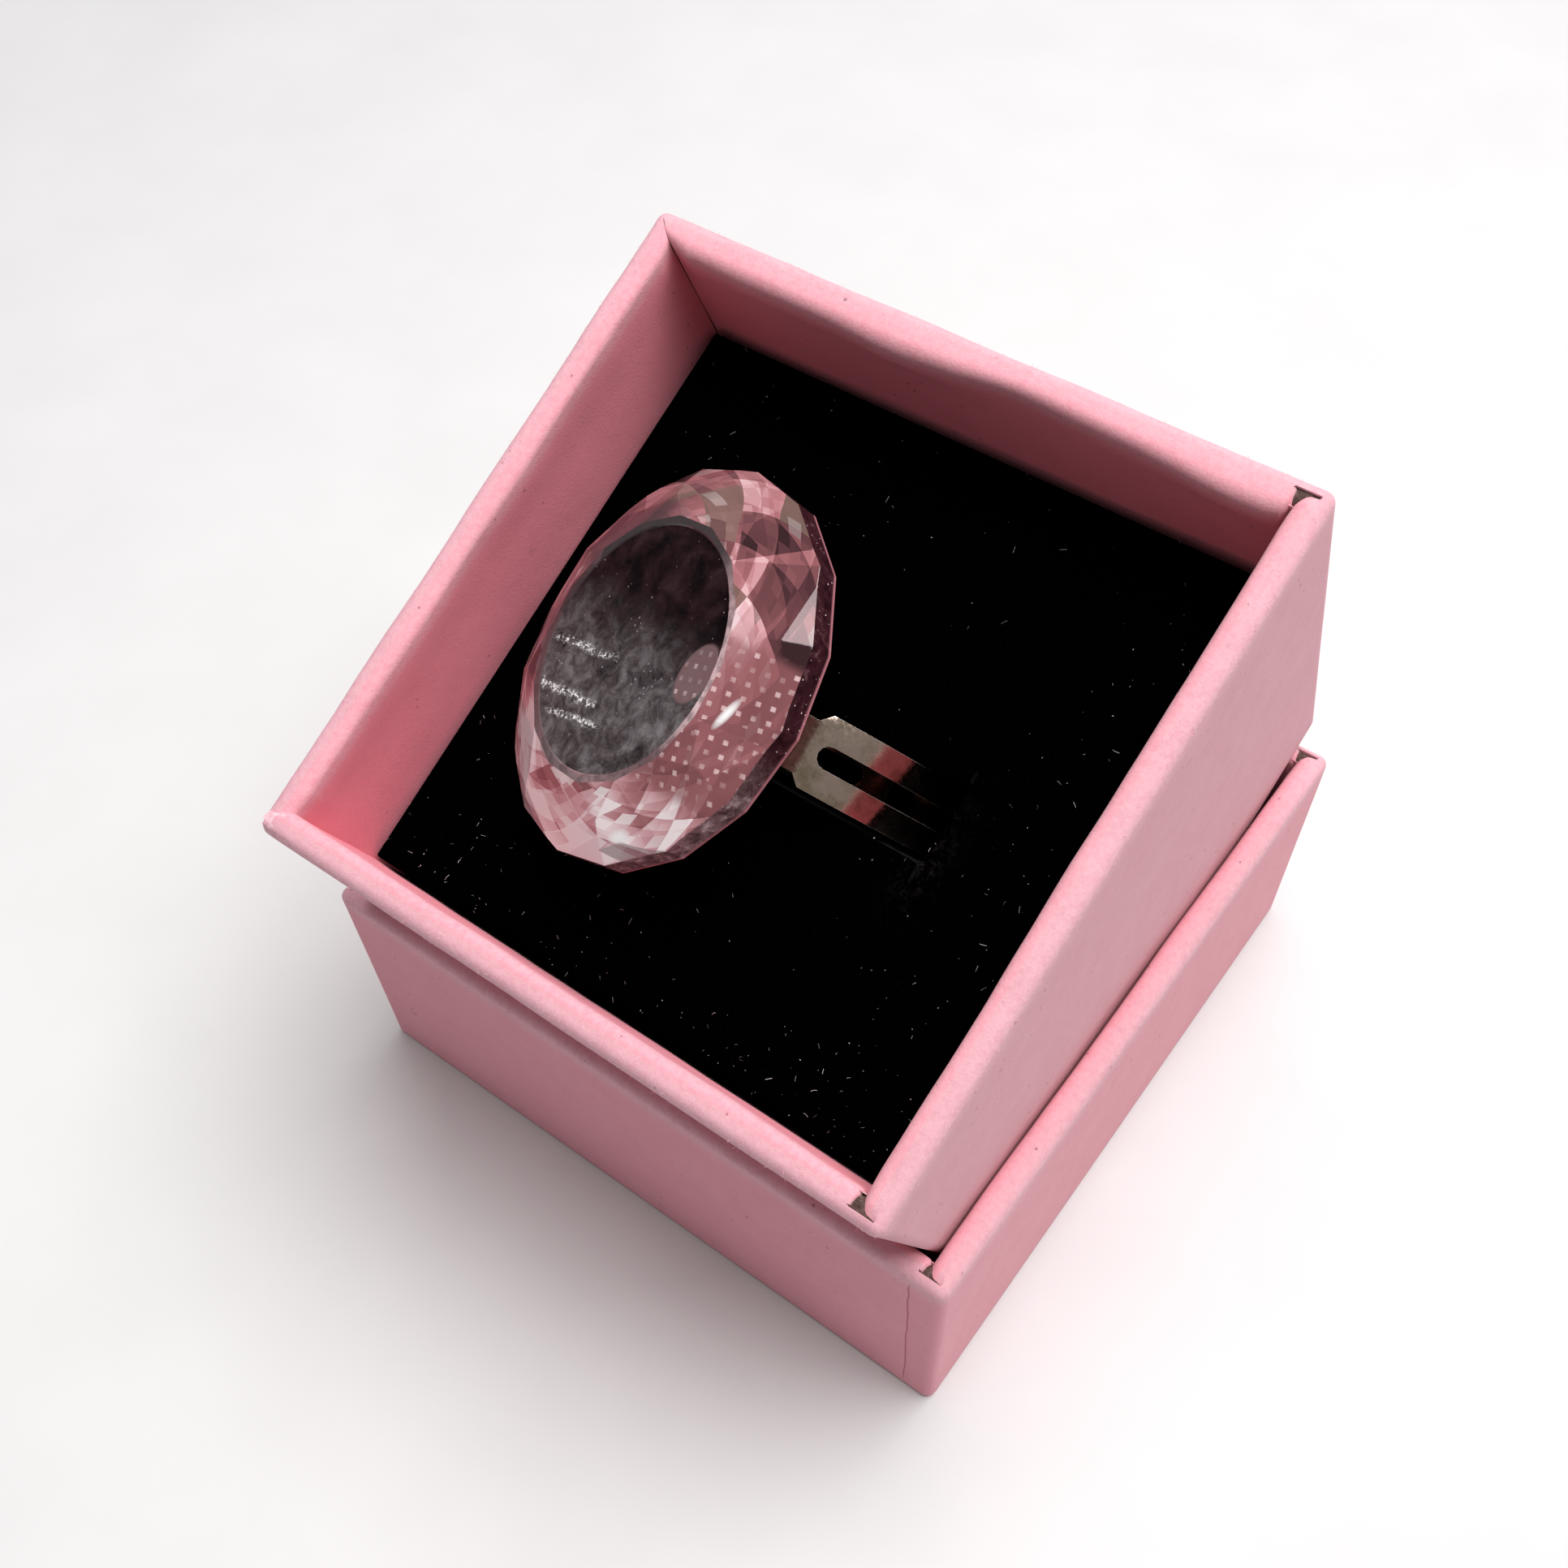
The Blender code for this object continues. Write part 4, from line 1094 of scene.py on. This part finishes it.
def rim_rule(tray):
    """Fibres stand up along the rim's outer fold."""
    inverse = tray.place.inverted()
    upright = tray.place.to_3x3().transposed()

    def rule(corner):
        spot = inverse @ corner.co
        outer = tray.half - max(abs(spot.x), abs(spot.y))
        normal = upright @ corner.normal
        if spot.z < tray.height - 1.2 * MM or outer > 1.0 * MM or normal.z < 0.1:
            return 0.0
        return 1.0 if outer < 0.7 * MM else 0.4
    return rule


# The ring

def ring_band(material, edge_highlight_material):
    """The rolled band; its softened edges get a brighter, less metallic finish, a painted highlight."""
    strip = merged_copy("ring_band", "band_strip")
    strip.materials.append(material)
    strip.materials.append(edge_highlight_material)
    mesh = worn_edges("band", strip, 0.24 * MM, material=1)
    return finished("band", mesh, "ring", "silver", "ring_band", smooth=35.0)


def pad(material):
    """The pad under the stone, with a grid of dots standing in the glue."""
    tree = Maker("pad_dots", "Pitch", "Dot Radius", "Dot Height", "Plate Radius")
    given = tree.given
    span = given["Pitch"] * (PAD_DOTS_ACROSS - 1)
    grid = tree.node("GeometryNodeMeshGrid", None, {
        "Size X": span, "Size Y": span, "Vertices X": PAD_DOTS_ACROSS, "Vertices Y": PAD_DOTS_ACROSS})
    spot = tree.node("GeometryNodeInputPosition")
    reach = tree.node("ShaderNodeVectorMath", {"operation": "LENGTH"}, {0: spot}, "Value")
    inside = tree.node("FunctionNodeCompare", {"data_type": "FLOAT", "operation": "LESS_THAN"},
                       {0: reach, 1: given["Plate Radius"]})
    dot = tree.node("GeometryNodeMeshCone", {"fill_type": "NGON"}, {
        "Vertices": 8, "Radius Top": given["Dot Radius"] * 0.6, "Radius Bottom": given["Dot Radius"],
        "Depth": given["Dot Height"]})
    instances = tree.node("GeometryNodeInstanceOnPoints", None, {
        "Points": grid, "Selection": inside, "Instance": dot})
    dots = tree.bake("pad_dots", bpy.data.meshes.new("pad_carrier"), instances, material, PAD_DOTS)
    dots.transform(RING @ Matrix.Translation((0, 0, PAD_TOP - 0.018 * MM)))
    finished("pad_dots", dots, "ring", "silver", material=material, smooth=30.0)
    plate = worn_edges("pad_plate", merged_copy("ring_pad", "pad_blank"), 0.12 * MM)
    return finished("pad_plate", plate, "ring", "silver", "ring_pad", material=material, smooth=35.0)


def crystal(materials):
    """The cut stone: whole facets, softened edges, and the round face let into its table."""
    shape = bmesh.new()
    shape.from_mesh(merged_copy("crystal", "crystal_cut"))
    shape.transform(RING.inverted())
    bmesh.ops.dissolve_limit(shape, angle_limit=math.radians(1.0), verts=shape.verts, edges=shape.edges)
    tone = shape.faces.layers.float.new("tone")
    side = shape.faces.layers.float.new("side")
    rng = random.Random(5)
    for face in shape.faces:
        middle = face.calc_center_median()
        face[tone] = rng.random()
        girdle = GIRDLE_LOW < middle.z < GIRDLE_HIGH and abs(face.normal.z) < 0.1
        face[side] = 1.0 if girdle else 0.3 if middle.z < GIRDLE_LOW else 0.0
        face.material_index = 0
    table = [face for face in shape.faces if face.calc_center_median().z > TABLE - 0.02 * MM]
    outline = [edge for edge in shape.edges if sum(face in table for face in edge.link_faces) == 1]
    bmesh.ops.delete(shape, geom=table, context="FACES")
    loops = []
    for radius, height in ((DISC_RADIUS, TABLE), (DISC_RADIUS - 0.10 * MM, TABLE - DISC_SINK)):
        lift = Matrix.Translation((0, 0, height))
        made = bmesh.ops.create_circle(shape, cap_ends=False, segments=72, radius=radius, matrix=lift)
        loops.append([edge for edge in shape.edges if edge.verts[0] in made["verts"]])
    filled = bmesh.ops.triangle_fill(shape, use_beauty=True, edges=outline + loops[0])["geom"]
    filled = [item for item in filled if isinstance(item, bmesh.types.BMFace)]
    circle = {corner for edge in loops[0] for corner in edge.verts}
    covered = [face for face in filled if set(face.verts) <= circle]
    rim = [face for face in filled if face not in covered]
    bmesh.ops.delete(shape, geom=covered, context="FACES_ONLY")
    wall = bmesh.ops.bridge_loops(shape, edges=loops[0] + loops[1])["faces"]
    disc = bmesh.ops.edgeloop_fill(shape, edges=loops[1])["faces"]
    for index, group in ((1, rim + list(wall)), (2, disc)):
        for face in group:
            face.material_index = index
    bmesh.ops.recalc_face_normals(shape, faces=shape.faces)
    weight = shape.edges.layers.float.new("bevel_weight_edge")
    for edge in shape.edges:
        cut = len(edge.link_faces) == 2 and edge.calc_face_angle() > math.radians(3)
        edge[weight] = 1.0 if cut and all(face.material_index == 0 for face in edge.link_faces) else 0.0
    for face in shape.faces:
        face.smooth = False
    mesh = mesh_from(ordered(shape), "crystal_cut_stone")
    mesh.transform(RING)
    for material in materials:
        mesh.materials.append(material)
    stone = shaped("crystal_stone", mesh, "BEVEL", width=0.05 * MM, segments=2, limit_method="WEIGHT")
    return finished("crystal_stone", stone, "ring", "crystal_glass", "crystal", smooth=None)


# The whole object

paper = pink_paper()
wrapped = []
# The last number is the painted shade and bounce on each wrap's outside
for prefix, place, turn_in, flaps, seed, outer_painted_shade in (
        ("base", BASE, BASE_TURN_IN, BASE_FLAPS, 3, 0.0),
        ("lid", LID, None, LID_FLAPS, 8, LID_PAINTED_SHADE)):
    tray = tray_of(prefix, place, turn_in, seed)
    wrapped.append((prefix, tray, wrap(prefix, tray, flaps, outer_painted_shade, paper)))
    under_flaps(prefix, tray, paper)

velvet_top, velvet_half, velvet_height = velvet(black_velvet())
foam(sponge())

# The band's warm brown tint is a painted reflection of a dim, warm room
ring_band(silver("silver", (0.92, 0.71, 0.58), 0.13),
          # The edges' brighter, less metallic finish is a painted highlight
          silver("bright_edge", (1.0, 0.90, 0.89), 0.34, 0.25))
pad(silver("pad_silver", (0.80, 0.70, 0.69), 0.25))
crystal((finish_crystal(), table_glass(), worn_disc()))

lint_finish, fuzz = lint(), paper_fibre()
for name, seed, sizes in (
        ("lint_fibres", 17, {"Length": 0.34 * MM, "Thickness": 0.013 * MM, "Bend": 0.5, "Lean": 0.9}),
        ("lint_dust", 23, {"Length": 0.10 * MM, "Thickness": 0.026 * MM, "Bend": 0.2, "Lean": 0.5})):
    surface = amount_surface(name + "_surface", velvet_top, lint_rule(velvet_half, velvet_height))
    scatter(name, surface, "insert", "black_velvet", lint_finish, seed, Density=420000.0, **sizes)
for (prefix, tray, piece), seed in zip(wrapped, (31, 37)):
    surface = amount_surface(prefix + "_fuzz_surface", piece, rim_rule(tray))
    scatter(prefix + "_fuzz", surface, prefix, "pink_paper", fuzz, seed, Density=5.0e6,
            Length=0.20 * MM, Thickness=0.006 * MM, Bend=0.3, Lean=0.7)

board, tape = grey_board(), stay_paper()
for name, node in frame["nodes"].items():
    if name.endswith("_board"):
        node.data.materials[0] = board
    elif "_stay_" in name:
        node.data.materials[0] = tape
    elif name.endswith("_liner"):
        node.data.materials[0] = paper
    elif name == "crystal_cement":
        node.data.materials[0] = clear_cement()


# Stage: floor, light and camera

def floor():
    """A plain pale sheet with a soft tooth."""
    shape = bmesh.new()
    bmesh.ops.create_grid(shape, x_segments=1, y_segments=1, size=FLOOR_HALF)
    mesh = mesh_from(shape, "floor")
    piece = new_object("floor", mesh)
    piece.location.z = -0.02 * MM
    pale = Finish("floor_paper", Roughness=0.95)
    colour = pale.ramp(pale.grain(60, 3), (0.3, (0.70, 0.69, 0.69)), (0.7, (0.73, 0.72, 0.72)))
    mesh.materials.append(pale.feed(Base_Color=colour))


def studio():
    """One square soft light overhead, to the right and behind, with an even pale surround."""
    world = bpy.data.worlds.new("surround")
    world.use_nodes = True
    background = world.node_tree.nodes["Background"]
    background.inputs["Color"].default_value = (1.0, 0.985, 0.98, 1.0)
    background.inputs["Strength"].default_value = SURROUND_STRENGTH
    bpy.context.scene.world = world
    lamp = bpy.data.lights.new("overhead", "AREA")
    lamp.shape = "SQUARE"
    lamp.size = LIGHT_SIZE
    lamp.energy = LIGHT_POWER
    light = new_object("overhead", lamp)
    light.location = LIGHT_PLACE
    light.rotation_euler = (LIGHT_TARGET - LIGHT_PLACE).to_track_quat("-Z", "Y").to_euler()


def camera():
    """The camera, above the near corner of the box."""
    lens = bpy.data.cameras.new("camera")
    lens.lens = FOCAL_LENGTH
    lens.sensor_width = SENSOR_WIDTH
    lens.shift_x, lens.shift_y = CAMERA_SHIFT
    lens.clip_start = 0.005
    eye = new_object("camera", lens)
    eye.location = CAMERA_PLACE
    eye.rotation_euler = [math.radians(angle) for angle in CAMERA_TURN]
    bpy.context.scene.camera = eye
    bpy.context.scene.view_settings.view_transform = "Standard"


floor()
studio()
camera()
